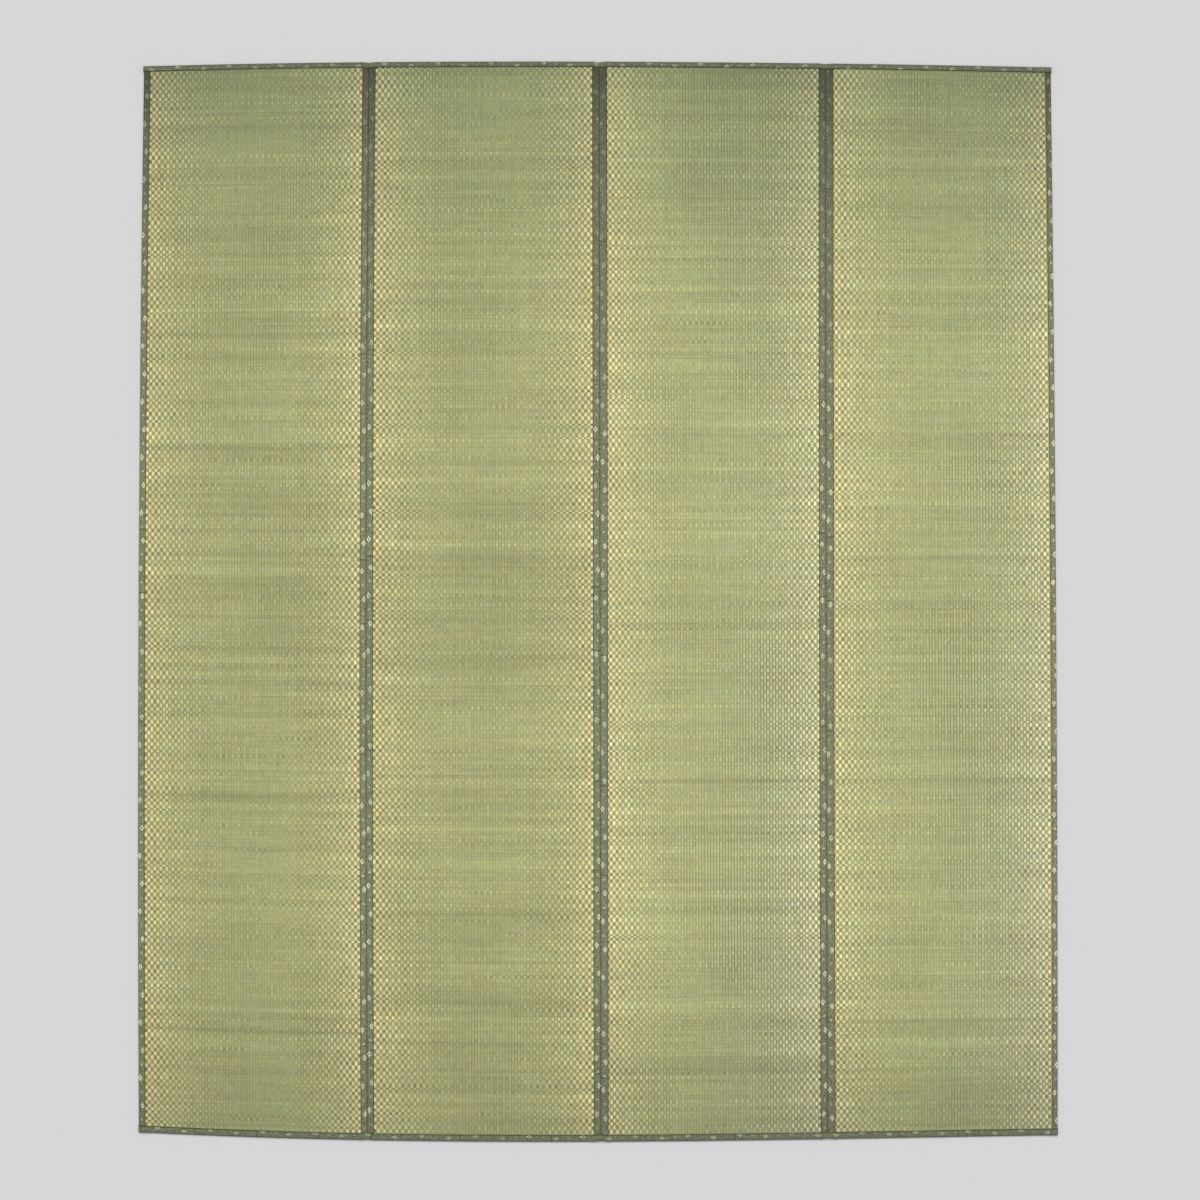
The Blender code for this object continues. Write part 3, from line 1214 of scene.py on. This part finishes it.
@dataclass
class RushStrip:
    """One strip of woven rush: a closed sheet whose upper side has a low bulge for every cell."""

    number: int
    layout: Layout
    finish: RushFinish
    look: StripLook
    cell_steps: int = 2
    under_steps: tuple[int, int] = (38, 148)
    pale_bulge: float = 0.00055
    green_bulge: float = -0.00020
    side_of_cell: float = -0.00005
    corner_of_cell: float = -0.00035
    unevenness: float = 0.00022
    swells: tuple[Range, ...] = ((1.3, 9.0), (2.1, 17.0), (3.7, 31.0))
    tape_fade: float = 0.006
    row_spread: float = 0.13
    row_limit: float = 1.6
    thin_rows: float = 0.12
    thin_row: float = 0.62
    band_strength: float = 1.3
    band_repeat: float = 1.325
    band_lean: float = 0.010
    band_fade: float = 0.25
    mid_level: float = 165.0
    level_range: Range = (0.3, 1.5)
    rows_apart: int = 1000
    bake: StripBake = StripBake()

    @property
    def name(self) -> str:
        """The piece's name, with the strip's number from the left, which starts at 1."""
        return f"woven_strip_{self.number + 1}"

    def closed_sheet(self) -> bpy.types.Mesh:
        """Makes a fine upper face and a coarse lower one, a unit square each, joined round their rims.

        Returns:
            The mesh, whose upper face is at z = 1 and whose lower one is at z = 0.
        """
        sheet = bmesh.new()
        wide, long = self.finish.columns * self.cell_steps, self.finish.rows * self.cell_steps
        raised = Matrix.Translation((0.0, 0.0, 1.0))
        bmesh.ops.create_grid(sheet, x_segments=wide, y_segments=long, size=0.5, matrix=raised)
        bmesh.ops.create_grid(sheet, x_segments=self.under_steps[0], y_segments=self.under_steps[1], size=0.5)
        lower = [face for face in sheet.faces if face.verts[0].co.z < 0.5]
        bmesh.ops.reverse_faces(sheet, faces=lower)
        rims = [edge for edge in sheet.edges if edge.is_boundary]
        bmesh.ops.bridge_loops(sheet, edges=rims)
        mesh = bpy.data.meshes.new(self.name)
        sheet.to_mesh(mesh)
        sheet.free()
        return mesh

    def row_lines(self) -> np.ndarray:
        """Where each row of cells ends, from 0 to 1: the weaver beats no two rows alike."""
        luck = np.random.default_rng(40 + self.number)
        spread = np.clip(luck.normal(size=self.finish.rows), -self.row_limit, self.row_limit)
        heights = 1 + self.row_spread * spread
        heights[luck.random(self.finish.rows) < self.thin_rows] *= self.thin_row
        return np.concatenate([[0.0], np.cumsum(heights)]) / heights.sum()

    def shares(self, square: np.ndarray) -> tuple[np.ndarray, np.ndarray]:
        """Turns places on the unit square into shares of the strip's width and of the length."""
        layout = self.layout
        column, row = square[:, 0] + 0.5, (square[:, 1] + 0.5) * self.finish.rows
        edge = layout.rush_edge
        across = (edge + column * (layout.strip_wide - 2 * edge)) / layout.strip_wide
        beaten = np.interp(row, np.arange(self.finish.rows + 1), self.row_lines())
        along = (edge + beaten * (layout.long - 2 * edge)) / layout.long
        return across, along

    def relief(self, square: np.ndarray, across: np.ndarray, along: np.ndarray) -> np.ndarray:
        """How far each point of the upper side stands over the plain sheet.

        Args:
            square: The points on the unit square.
            across: Their shares of the strip's width.
            along: Their shares of the length.

        Returns:
            Their heights, which fade out under the tapes.
        """
        step_across = np.rint((square[:, 0] + 0.5) * self.finish.columns * self.cell_steps).astype(int)
        step_along = np.rint((square[:, 1] + 0.5) * self.finish.rows * self.cell_steps).astype(int)
        mid_column, mid_row = step_across % self.cell_steps == 1, step_along % self.cell_steps == 1
        odd = (step_across // self.cell_steps + step_along // self.cell_steps) % 2 == 1
        middle = np.where(odd, self.pale_bulge, self.green_bulge)
        corner = np.where(mid_column | mid_row, self.side_of_cell, self.corner_of_cell)
        height = np.where(mid_column & mid_row, middle, corner)
        luck = np.random.default_rng(7 + self.number)
        for waves_across, waves_along in self.swells:
            turn = luck.uniform(0, 2 * math.pi, 2)
            swell = np.sin(2 * math.pi * waves_across * across + turn[0])
            height = height + self.unevenness * swell * np.sin(2 * math.pi * waves_along * along + turn[1])
        past_side = self.layout.side_distance(across) - self.layout.upper_leaf_edge(self.number, across)
        tape_edge = np.where(
            along < 0.5, self.layout.end_tape_edge(End.FRONT), self.layout.end_tape_edge(End.BACK)
        )
        past_end = self.layout.end_distance(along) - tape_edge
        return height * np.clip(np.minimum(past_side, past_end) / self.tape_fade, 0.0, 1.0)

    def tone(self, across: np.ndarray, along: np.ndarray) -> np.ndarray:
        """How much light the rush gives back at each point, as a share of its usual amount.

        Args:
            across: Shares of the strip's width.
            along: Shares of the length.

        Returns:
            The shares: the strip's own lightness, darker with painted shade towards the ends and in the dark
            bands, and lighter with painted light in the light ones.
        """
        at = self.layout.along_y(self.number, along)
        # Painted shade towards the ends, then the bands, most of them painted light and shade on the slopes
        # of low waves
        back_drop = self.look.back_drop * (1 + self.look.lean * (across - 0.5))
        level = self.look.lift + self.layout.end_shade(along, self.look.front_drop, back_drop)
        luck = np.random.default_rng(90 + self.number)
        for band in self.look.bands:
            for turn in range(band.times):
                lean = luck.uniform(-self.band_lean, self.band_lean)
                off = (at - band.at + turn * self.band_repeat + lean * (across - 0.5)) / band.reach
                unevenly = np.sin(luck.uniform(0, 6) + luck.uniform(2, 5) * across)
                fade = 1 - self.band_fade + self.band_fade * unevenly
                level = level + self.band_strength * band.shade * fade * np.exp(-(off**2))
        return np.clip(1 + level / self.mid_level, *self.level_range) ** LEVEL_POWER

    def paleness(self, across: np.ndarray, along: np.ndarray) -> np.ndarray:
        """How bleached each point is: more towards the right side and the front end."""
        rightwards, frontwards = np.clip(1.6 * across - 0.5, 0.15, 1), np.clip(1.3 - along, 0.35, 1)
        return self.look.bleached * rightwards * frontwards

    def freshness(self, along: np.ndarray) -> np.ndarray:
        """How green each point still is: most at the back end."""
        return -self.layout.end_shade(along, 0.0, 1.0)

    def add_maps(self, mesh: bpy.types.Mesh, square: np.ndarray) -> None:
        """Gives the strip its weave map, in cells, and the flat layout that its colours are baked on.

        The strips' weave maps are far apart, so that no two strips share their chances.

        Args:
            mesh: The strip's mesh.
            square: Its points on the unit square, before they were moved.
        """
        corners, bake = Corners.of(mesh), self.bake
        column, row = square[corners.point, 0] + 0.5, square[corners.point, 1] + 0.5
        first_row = self.number * self.rows_apart
        add_map(mesh, WEAVE_MAP, column * self.finish.columns, first_row + row * self.finish.rows)
        level = corners.face_mean(square[:, 2])
        back_half = corners.face_mean(square[:, 1]) > 0
        upper, lower = level > 0.999, level < 0.001
        half = bake.half_wide * column
        across = np.where(back_half, bake.back_half_at + half, half)
        along = np.where(back_half, 2 * row - 1, 2 * row)
        across = np.where(lower, bake.lower_at + bake.lower_wide * column, across)
        along = np.where(lower, row, along)
        rim = ~(upper | lower)
        mean_column = corners.face_mean(square[:, 0]) + 0.5
        mean_row = corners.face_mean(square[:, 1]) + 0.5
        sides = np.stack([mean_column, 1 - mean_column, mean_row, 1 - mean_row]).argmin(axis=0)
        run = np.where(sides < 2, row, column)
        across = np.where(rim, bake.rim_at + bake.rim_wide * square[corners.point, 2], across)
        along = np.where(rim, bake.rim_step * sides + bake.rim_long * run, along)
        add_map(mesh, BAKE_MAP, across, along)

    def build(self, material: bpy.types.Material) -> bpy.types.Object:
        """Makes the strip and puts it in place of its node.

        Args:
            material: The woven rush.

        Returns:
            The strip.
        """
        mesh = self.closed_sheet()
        square = points_of(mesh)
        across, along = self.shares(square)
        under = self.layout.rush_underside(self.number, across, along)
        upper = square[:, 2] > 0.5
        height = under + np.where(upper, self.layout.rush_thick + self.relief(square, across, along), 0.0)
        self.add_maps(mesh, square)
        set_points(mesh, self.layout.place(self.number, across, along, height))
        add_attribute(mesh, TONE_AND_SHADE, self.tone(across, along))
        add_attribute(mesh, PALE, self.paleness(across, along))
        add_attribute(mesh, FRESH, self.freshness(along))
        mesh.shade_smooth()
        mesh.set_sharp_from_angle(angle=SHARP_ANGLE)
        piece = new_piece(self.name, mesh, material)
        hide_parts(f"rush_strip_{self.number + 1}")
        return piece


@dataclass(frozen=True)
class Section:
    """The closed outline of a folded cloth, with one entry in each list for each of its points.

    The points run from the upper leaf's edge round the outside of the fold to the lower leaf's edge, and
    back along the inside.
    """

    distance: np.ndarray
    height: np.ndarray
    lift: np.ndarray
    cloth: np.ndarray
    run: np.ndarray

    @property
    def last(self) -> int:
        """The number of the last point, which stands on the first."""
        return len(self.distance) - 1


@dataclass(frozen=True)
class Fold:
    """How a tape is folded round an edge."""

    layout: Layout
    upper: float
    lower: float
    corner: float = 0.0013
    corner_steps: int = 3
    rim_steps: tuple[float, ...] = (0.0, 0.0016, 0.0045)
    rim_dip: float = 0.0002
    outside_share: float = 0.80

    def middle_line(self) -> tuple[np.ndarray, np.ndarray]:
        """Works out the line that runs through the middle of the cloth, with rounded corners.

        Returns:
            The line's points, each its distance from the carpet's line and its height, and the directions
            in which the cloth faces out there.
        """
        low = self.layout.tape_thick / 2
        high = low + self.layout.leaves_apart
        inner = self.layout.fold_middle + self.corner
        leaf = [self.upper - step for step in self.rim_steps] + [(self.upper + inner) / 2]
        dips = [self.rim_dip, self.rim_dip / 3] + [0.0] * (len(leaf) - 2)
        turns = np.linspace(0.0, math.pi / 2, self.corner_steps + 1)
        out = self.corner * np.sin(turns)
        rounded = self.corner * (1 - np.cos(turns))
        lower_leaf = [(self.lower + inner) / 2, self.lower]
        distance = np.concatenate([leaf, inner - out, (inner - out)[::-1], lower_leaf])
        upper = np.concatenate([high - np.array(dips), high - rounded])
        height = np.concatenate([upper, (low + rounded)[::-1], [low, low]])
        facing = np.concatenate([np.zeros(len(leaf)), turns, math.pi - turns[::-1], [math.pi, math.pi]])
        out_ways = np.stack([-np.sin(facing), np.cos(facing)], axis=-1)
        return np.stack([distance, height], axis=-1), out_ways

    def section(self) -> Section:
        """Gives the middle line its thickness, and closes it."""
        line, out_ways = self.middle_line()
        half = self.layout.tape_thick / 2
        cloth = np.concatenate([[0.0], np.cumsum(np.linalg.norm(np.diff(line, axis=0), axis=1))])
        outline = np.concatenate([line + half * out_ways, (line - half * out_ways)[::-1]])
        lift = np.clip((line[:, 1] - half) / self.layout.leaves_apart, 0.0, 1.0)
        inside = self.outside_share + 0.02 + (0.96 - self.outside_share) * (1 - cloth / cloth[-1])
        run = np.concatenate([self.outside_share * cloth / cloth[-1], inside[::-1], [1.0]])
        there_and_back = np.concatenate([np.arange(len(line)), np.arange(len(line))[::-1], [0]])
        closed = np.concatenate([outline, outline[:1]])
        return Section(closed[:, 0], closed[:, 1], lift[there_and_back], cloth[there_and_back], run)


@dataclass
class FoldedTape:
    """What the side tapes and the end tapes share: cloth laid round an edge and sewn down.

    Two lengths of the cloth are joined at a place along the tape, past which its repeat slips back
    a little.
    """

    name: str
    node: str
    layout: Layout
    even: float
    laid: TapeLay
    joint_at: float = 1.80
    joint_slip: float = 0.0373
    pucker: float = 0.00016
    waver: float = 0.00030
    waver_reach: float = 0.004
    waver_turns: float = 83
    pucker_reach: float = 0.006
    wander_turns: tuple[Range, ...] = ((61, 40), (149, 90))
    bake_lanes: int = 8
    lane_edge: float = 0.04
    lane_wide: float = 0.92
    lane_start: float = 0.02
    lane_long: float = 0.94
    stitch_pitch: float = 0.0046
    stitch_margin: float = 0.004
    stitch_inward: float = 0.0026
    stitch_half: tuple[float, float, float] = (0.0015, 0.00035, 0.00030)

    @property
    def fold(self) -> Fold:
        """The tape's fold. What its upper leaf has more than half of the cloth, its lower one has less."""
        return Fold(self.layout, self.laid.reach, 2 * self.even - self.laid.reach)

    def stations(self) -> np.ndarray:
        """The places along the tape at which its section is set, which each kind of tape gives."""
        raise NotImplementedError

    def metres(self, station: np.ndarray) -> np.ndarray:
        """How far along the cloth stations are."""
        raise NotImplementedError

    def pattern(self, metres: np.ndarray, corners: Corners) -> np.ndarray:
        """How far along the repeat of diamonds each corner is, with a clean step at the joint."""
        past_joint = corners.face_mean(metres) > self.joint_at
        return metres[corners.point] + self.laid.phase - self.joint_slip * past_joint

    def tone(self, station: np.ndarray) -> np.ndarray:
        """How much light the cloth gives back at stations, as a share of its usual amount."""
        return np.full(len(station), self.laid.tone)

    def lay(
        self,
        distance: np.ndarray,
        height: np.ndarray,
        lift: np.ndarray,
        station: np.ndarray,
    ) -> np.ndarray:
        """Lays points of the section at their stations, which each kind of tape does in its own way."""
        raise NotImplementedError

    def sewn(self, cloth: Numbers, metres: Numbers) -> tuple[Numbers, Numbers]:
        """Works out how the sewing puckers the upper leaf and draws its edge in and out.

        Args:
            cloth: Distances from the leaf's edge.
            metres: Distances along the tape.

        Returns:
            How far the cloth is drawn inwards, and how far up.
        """
        phase = self.laid.phase
        near_edge = np.exp(-((cloth / self.waver_reach) ** 2))
        near_seam = np.exp(-(((cloth - self.pucker_reach) / self.pucker_reach) ** 2))
        wander = sum(np.sin(metres * turns + phase * shift) for turns, shift in self.wander_turns)
        drawn = self.waver * near_edge * np.sin(metres * self.waver_turns + 2 * wander)
        return drawn, self.pucker * near_seam * (1 + 0.5 * wander)

    def bake_place(
        self,
        along: np.ndarray,
        lane: np.ndarray,
        run: np.ndarray,
    ) -> tuple[np.ndarray, np.ndarray]:
        """Places points on the flat layout for baking, where the tape lies in lanes side by side."""
        across = (lane + self.lane_edge + self.lane_wide * run) / self.bake_lanes
        return across, self.lane_start + self.lane_long * (along * self.bake_lanes - lane)

    def cloth_tube(self, section: Section, station: np.ndarray) -> bpy.types.Mesh:
        """Makes the tape's mesh, in place, open at its two ends and not yet joined along its edge.

        Args:
            section: The closed outline of the folded cloth.
            station: The places at which it is set.

        Returns:
            The mesh, with its maps.
        """
        rows = len(station) - 1
        grid = bmesh.new()
        bmesh.ops.create_grid(grid, x_segments=section.last, y_segments=rows, size=0.5)
        mesh = bpy.data.meshes.new(self.name)
        grid.to_mesh(mesh)
        grid.free()
        square = points_of(mesh) + 0.5
        column = np.rint(square[:, 0] * section.last).astype(int)
        row = np.rint(square[:, 1] * rows).astype(int)
        corners = Corners.of(mesh)
        here = corners.point
        metres, cloth, lift = self.metres(station[row]), section.cloth[column], section.lift[column]
        add_map(mesh, CLOTH_MAP, cloth[here], self.pattern(metres, corners))
        lane = np.floor(corners.face_mean(square[:, 1]) * self.bake_lanes)
        add_map(mesh, BAKE_MAP, *self.bake_place(square[here, 1], lane, section.run[column][here]))
        inward, up = self.sewn(cloth, metres)
        height = section.height[column] + up * lift
        set_points(mesh, self.lay(section.distance[column] + inward * lift, height, lift, station[row]))
        add_attribute(mesh, TONE_AND_SHADE, self.tone(station[row]))
        add_attribute(mesh, REACH, np.full(len(row), self.laid.reach))
        add_attribute(mesh, MOTIF_LINE, np.full(len(row), self.laid.motif_line))
        steps = len(self.laid.drawn)
        share = (metres - metres.min()) / np.ptp(metres)
        add_attribute(mesh, DRAWN, np.interp(share, (np.arange(steps) + 0.5) / steps, self.laid.drawn))
        return mesh

    def close(self, mesh: bpy.types.Mesh) -> None:
        """Joins the tube along its edge and closes its two cut ends, each with a small patch of the maps."""
        tube = bmesh.new()
        tube.from_mesh(mesh)
        bmesh.ops.remove_doubles(tube, verts=tube.verts, dist=1e-6)
        rims = [edge for edge in tube.edges if edge.is_boundary]
        ends = bmesh.ops.holes_fill(tube, edges=rims, sides=0)["faces"]
        cloth, bake = tube.loops.layers.uv[CLOTH_MAP], tube.loops.layers.uv[BAKE_MAP]
        for number, end in enumerate(ends):
            spots = np.array([corner.vert.co for corner in end.loops])
            size = np.ptp(spots, axis=0)
            wide, shares = size[:2].argmax(), (spots - spots.min(axis=0)) / np.maximum(size, 1e-6)
            patch_at = 0.1 + 0.2 * number
            for corner, share in zip(end.loops, shares):
                corner[cloth].uv = (0.020, 0.01 * number)
                corner[bake].uv = (patch_at + 0.1 * share[wide], 0.985 + 0.014 * share[2])
        bmesh.ops.recalc_face_normals(tube, faces=tube.faces)
        if tube.calc_volume(signed=True) < 0:
            bmesh.ops.reverse_faces(tube, faces=tube.faces)
        tube.to_mesh(mesh)
        tube.free()

    def build(self, material: bpy.types.Material) -> bpy.types.Object:
        """Makes the tape and puts it in place of its node.

        Args:
            material: The tape's cloth.

        Returns:
            The tape.
        """
        mesh = self.cloth_tube(self.fold.section(), self.stations())
        self.close(mesh)
        mesh.shade_smooth()
        mesh.set_sharp_from_angle(angle=SHARP_ANGLE)
        piece = new_piece(self.name, mesh, material)
        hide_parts(self.node)
        return piece

    def stitches(self, material: bpy.types.Material) -> bpy.types.Object:
        """Makes the row of sewing beside the upper leaf's edge.

        Args:
            material: The sewing thread.

        Returns:
            The stitches, as one piece.
        """
        ends = self.stations()[[0, -1]]
        start, end = self.metres(ends)
        count = int((end - start - 2 * self.stitch_margin) / self.stitch_pitch)
        share = (self.stitch_margin + (np.arange(count) + 0.5) * self.stitch_pitch) / (end - start)
        station = ends[0] + share * (ends[1] - ends[0])
        metres = self.metres(station)
        inward, up = self.sewn(self.stitch_inward, metres)
        top = self.layout.tape_thick + self.layout.leaves_apart
        ones = np.ones(count)
        spots = self.lay((self.laid.reach - self.stitch_inward) * ones + inward, top + up, ones, station)
        ways = np.gradient(spots, axis=0)
        turns = np.arctan2(ways[:, 1], ways[:, 0])
        return sewing(f"{self.name}_stitches", spots, turns, self.stitch_half, material)


@dataclass
class SideTape(FoldedTape):
    """The tape folded round one long side of a strip, under the end tapes at both of its ends."""

    strip: int = 0
    side: Side = Side.LEFT
    fine_reach: float = 0.056
    fine_steps: int = 8
    steps: int = 160
    # Levels of painted shade at the tape's front and back ends, against the cloth's middle level
    front_drop: float = 26.0
    back_drop: float = 58.0
    mid_level: float = 140.0

    def stations(self) -> np.ndarray:
        """Metres from the carpet's front end, closer together near both ends."""
        edge, long = self.layout.rush_edge, self.layout.long
        near = np.linspace(edge, self.fine_reach, self.fine_steps + 1)
        middle = np.linspace(self.fine_reach, long - self.fine_reach, self.steps + 1)[1:-1]
        return np.concatenate([near, middle, (long - near)[::-1]])

    def metres(self, station: np.ndarray) -> np.ndarray:
        """A station of a side tape is in metres already."""
        return station

    def tone(self, station: np.ndarray) -> np.ndarray:
        """How much light the cloth gives back: less towards the ends, as the rush does."""
        # Painted shade towards the ends, as on the rush
        level = self.layout.end_shade(station / self.layout.long, self.front_drop, self.back_drop)
        return super().tone(station) * (1 + level / self.mid_level) ** LEVEL_POWER

    def lay(
        self,
        distance: np.ndarray,
        height: np.ndarray,
        lift: np.ndarray,
        station: np.ndarray,
    ) -> np.ndarray:
        """Lays points round the strip's long side, and up over the lower leaves of the end tapes."""
        layout = self.layout
        near, along = distance / layout.strip_wide, station / layout.long
        across = 1 - near if self.side is Side.RIGHT else near
        return layout.place(self.strip, across, along, height + layout.layer * layout.over_end_tape(along))


@dataclass
class EndTape(FoldedTape):
    """The longer tape folded round one end of all the strips. A station is a strip's number and a share."""

    end: End = End.FRONT
    joint_at: float = 2.64
    joint_slip: float = 0.069
    near_side: tuple[float, ...] = (0, 0.004, 0.01, 0.018, 0.0227, 0.0267)
    past_side_tape: tuple[float, ...] = (0.0297, 0.0327, 0.0358, 0.042, 0.0517)
    steps: int = 30

    def stations(self) -> np.ndarray:
        """Stations from the carpet's left side to its right, closer together where tapes cross."""
        near = np.array(self.near_side + self.past_side_tape) / self.layout.strip_wide
        middle = np.linspace(near[-1], 1 - near[-1], self.steps + 1)[1:-1]
        strip = np.concatenate([near, middle, (1 - near)[::-1][:-1]])
        last = self.layout.strips
        past = END_FOLDS[self.end].past_side / self.layout.strip_wide
        inside = [number + strip for number in range(last)]
        return np.concatenate([[-past], *inside, [last, last + past]])

    def metres(self, station: np.ndarray) -> np.ndarray:
        """How far stations are from the carpet's left side."""
        return station * self.layout.strip_wide

    def lay(
        self,
        distance: np.ndarray,
        height: np.ndarray,
        lift: np.ndarray,
        station: np.ndarray,
    ) -> np.ndarray:
        """Lays points round the carpet's end, and up over the side tapes that it crosses."""
        layout = self.layout
        near = distance / layout.long
        along = 1 - near if self.end is End.BACK else near
        strips = np.clip(np.floor(station), 0, layout.strips - 1).astype(int)
        laid = np.zeros((len(station), 3))
        for strip in range(layout.strips):
            here = strips == strip
            across = station[here] - strip
            raised = height[here] + lift[here] * layout.end_tape_rise(strip, across)
            laid[here] = layout.place(strip, across, along[here], raised)
        return laid


def sewing(
    name: str,
    spots: np.ndarray,
    turns: np.ndarray,
    half: tuple[float, float, float],
    material: bpy.types.Material,
) -> bpy.types.Object:
    """Makes a row of stitches as one piece.

    Args:
        name: The piece's name.
        spots: The middle of each stitch.
        turns: How far each is turned round from the carpet's width.
        half: Half of a stitch's length, width and height.
        material: The sewing thread.

    Returns:
        The stitches.
    """
    mesh = bpy.data.meshes.new(name)
    stitch = bmesh.new()
    bmesh.ops.create_uvsphere(stitch, u_segments=4, v_segments=2, radius=1.0)
    stitch.to_mesh(mesh)
    stitch.free()

    # The row is doubled once for each binary digit of the count, with a stitch more where it is 1
    row = bmesh.new()
    for digit in f"{len(spots):b}":
        bmesh.ops.duplicate(row, geom=row.verts[:] + row.edges[:] + row.faces[:])
        if digit == "1":
            row.from_mesh(mesh)
    row.to_mesh(mesh)
    row.free()
    shape = points_of(mesh).reshape(len(spots), -1, 3) * np.array(half)
    cosine, sine = np.cos(turns)[:, None], np.sin(turns)[:, None]
    x = shape[:, :, 0] * cosine - shape[:, :, 1] * sine
    y = shape[:, :, 0] * sine + shape[:, :, 1] * cosine
    set_points(mesh, np.stack([x, y, shape[:, :, 2]], axis=-1) + spots[:, None, :])
    mesh.shade_smooth()
    return new_piece(name, mesh, material)


@dataclass
class SeamSewing:
    """The overcast thread that joins two neighbouring strips, tape to tape."""

    number: int
    layout: Layout
    pitch: float = 0.0057
    half: tuple[float, float, float] = (0.0022, 0.0014, 0.00060)
    slant: float = 0.20
    slant_spread: float = 0.08
    margin: float = 0.004
    sunk: float = 0.0003

    def build(self, material: bpy.types.Material) -> bpy.types.Object:
        """Makes the seam's stitches, from one end tape to the other.

        Args:
            material: The sewing thread.

        Returns:
            The stitches, as one piece.
        """
        layout = self.layout
        first = layout.end_tape_edge(End.FRONT) + self.margin
        last = layout.long - layout.end_tape_edge(End.BACK) - self.margin
        metres = np.arange(first, last, self.pitch)
        along = metres / layout.long
        top = layout.tape_thick + layout.leaves_apart + layout.layer * layout.over_end_tape(along)
        spots = layout.place(self.number, np.zeros_like(along), along, top - self.sunk)
        luck = np.random.default_rng(300 + self.number)
        turns = self.slant + luck.normal(0.0, self.slant_spread, len(metres))
        return sewing(f"seam_{self.number}_sewing", spots, turns, self.half, material)


@dataclass
class Carpet:
    """The whole carpet: its strips, their tapes and the sewing."""

    layout: Layout = field(default_factory=Layout)
    rush: RushFinish = field(default_factory=RushFinish)
    side_cloth: TapeFinish = field(default_factory=TapeFinish)
    end_cloth: TapeFinish = END_CLOTH
    thread: ThreadFinish = field(default_factory=ThreadFinish)

    def build_strips(self) -> None:
        """Makes the four strips of rush, and logs how many faces each has."""
        material = rush_material(self.rush)
        for number, look in enumerate(STRIP_LOOKS):
            strip = RushStrip(number, self.layout, self.rush, look).build(material)
            log.info("%s: %d faces", strip.name, len(strip.data.polygons))

    def build_tape(self, tape: FoldedTape, cloth: bpy.types.Material, thread: bpy.types.Material) -> None:
        """Makes one tape with its stitches, and logs how many faces they have.

        Args:
            tape: The tape.
            cloth: What it is made of.
            thread: The sewing thread.
        """
        long = self.layout.cut_wide if isinstance(tape, EndTape) else self.layout.cut_long
        piece, stitches = tape.build(cloth), tape.stitches(thread)
        faces, stitch_faces = len(piece.data.polygons), len(stitches.data.polygons)
        log.info("%s: %d faces, %d stitch faces", piece.name, faces, stitch_faces)

    def build_tapes(self) -> None:
        """Makes the side tapes, the end tapes and the sewing of the seams."""
        layout = self.layout
        thread = thread_material(self.thread)
        side_cloth, end_cloth = tape_material(self.side_cloth), tape_material(self.end_cloth)
        for number in range(layout.strips):
            for side in Side:
                name = f"{number + 1}_{side.value}"
                names = (f"tape_{name}", f"side_tape_{name}")
                laid = SIDE_LAYS[side][number]
                tape = SideTape(*names, layout, layout.side_tape_wide, laid, strip=number, side=side)
                self.build_tape(tape, side_cloth, thread)
        for end, fold in END_FOLDS.items():
            names = (f"tape_{end.name.lower()}", f"end_tape_{end.name.lower()}")
            tape = EndTape(*names, layout, fold.wide, END_LAYS[end], bake_lanes=6, end=end)
            self.build_tape(tape, end_cloth, thread)
        for number in range(1, layout.strips):
            seam = SeamSewing(number, layout).build(thread)
            log.info("%s: %d faces", seam.name, len(seam.data.polygons))

    def build(self) -> None:
        """Makes every piece."""
        self.build_strips()
        self.build_tapes()


@dataclass
class Studio:
    """The floor, the soft light and the camera, which looks straight down as the photo does."""

    floor: FloorFinish = field(default_factory=FloorFinish)
    floor_wide: float = 40.0
    floor_below: float = 0.0003
    light_energy: float = 2.2
    light_tilt: float = 45.0
    light_soft: float = 40.0
    sky: float = 0.5
    camera_at: tuple[float, float, float] = (0.00766, 0.0057, 12.0)
    view_wide: float = 4.596
    sensor: float = 36.0

    def build_floor(self) -> None:
        """Lays a plain floor just under the carpet."""
        plane = bmesh.new()
        bmesh.ops.create_grid(plane, x_segments=1, y_segments=1, size=self.floor_wide / 2)
        mesh = bpy.data.meshes.new("floor")
        plane.to_mesh(mesh)
        plane.free()
        mesh.materials.append(floor_material(self.floor))
        floor = bpy.data.objects.new("floor", mesh)
        floor.location.z = -self.floor_below
        bpy.context.scene.collection.objects.link(floor)

    def build_light(self) -> None:
        """Hangs one wide soft light towards the back end, in an even pale room."""
        lamp = bpy.data.lights.new("soft_light", "SUN")
        lamp.energy = self.light_energy
        lamp.angle = math.radians(self.light_soft)
        light = bpy.data.objects.new("soft_light", lamp)
        light.rotation_euler = Euler((-math.radians(self.light_tilt), 0.0, 0.0))
        bpy.context.scene.collection.objects.link(light)
        world = bpy.data.worlds.new("even_room")
        world.use_nodes = True
        world.node_tree.nodes["Background"].inputs["Color"].default_value = (1.0, 1.0, 1.0, 1.0)
        world.node_tree.nodes["Background"].inputs["Strength"].default_value = self.sky
        bpy.context.scene.world = world

    def build_camera(self) -> None:
        """Sets the camera over the carpet, with the photo's field of view."""
        lens = bpy.data.cameras.new("from_above")
        lens.sensor_width = self.sensor
        lens.lens = self.sensor * self.camera_at[2] / self.view_wide
        camera = bpy.data.objects.new("from_above", lens)
        camera.location = self.camera_at
        bpy.context.scene.collection.objects.link(camera)
        bpy.context.scene.camera = camera

    def build(self) -> None:
        """Sets up the floor, the light and the camera."""
        self.build_floor()
        self.build_light()
        self.build_camera()
        bpy.context.scene.view_settings.view_transform = "Standard"


def main() -> None:
    """Builds the carpet and its studio."""
    logging.basicConfig(level=logging.INFO, format="%(name)s: %(message)s")
    Carpet().build()
    Studio().build()


if __name__ == "__main__":
    main()
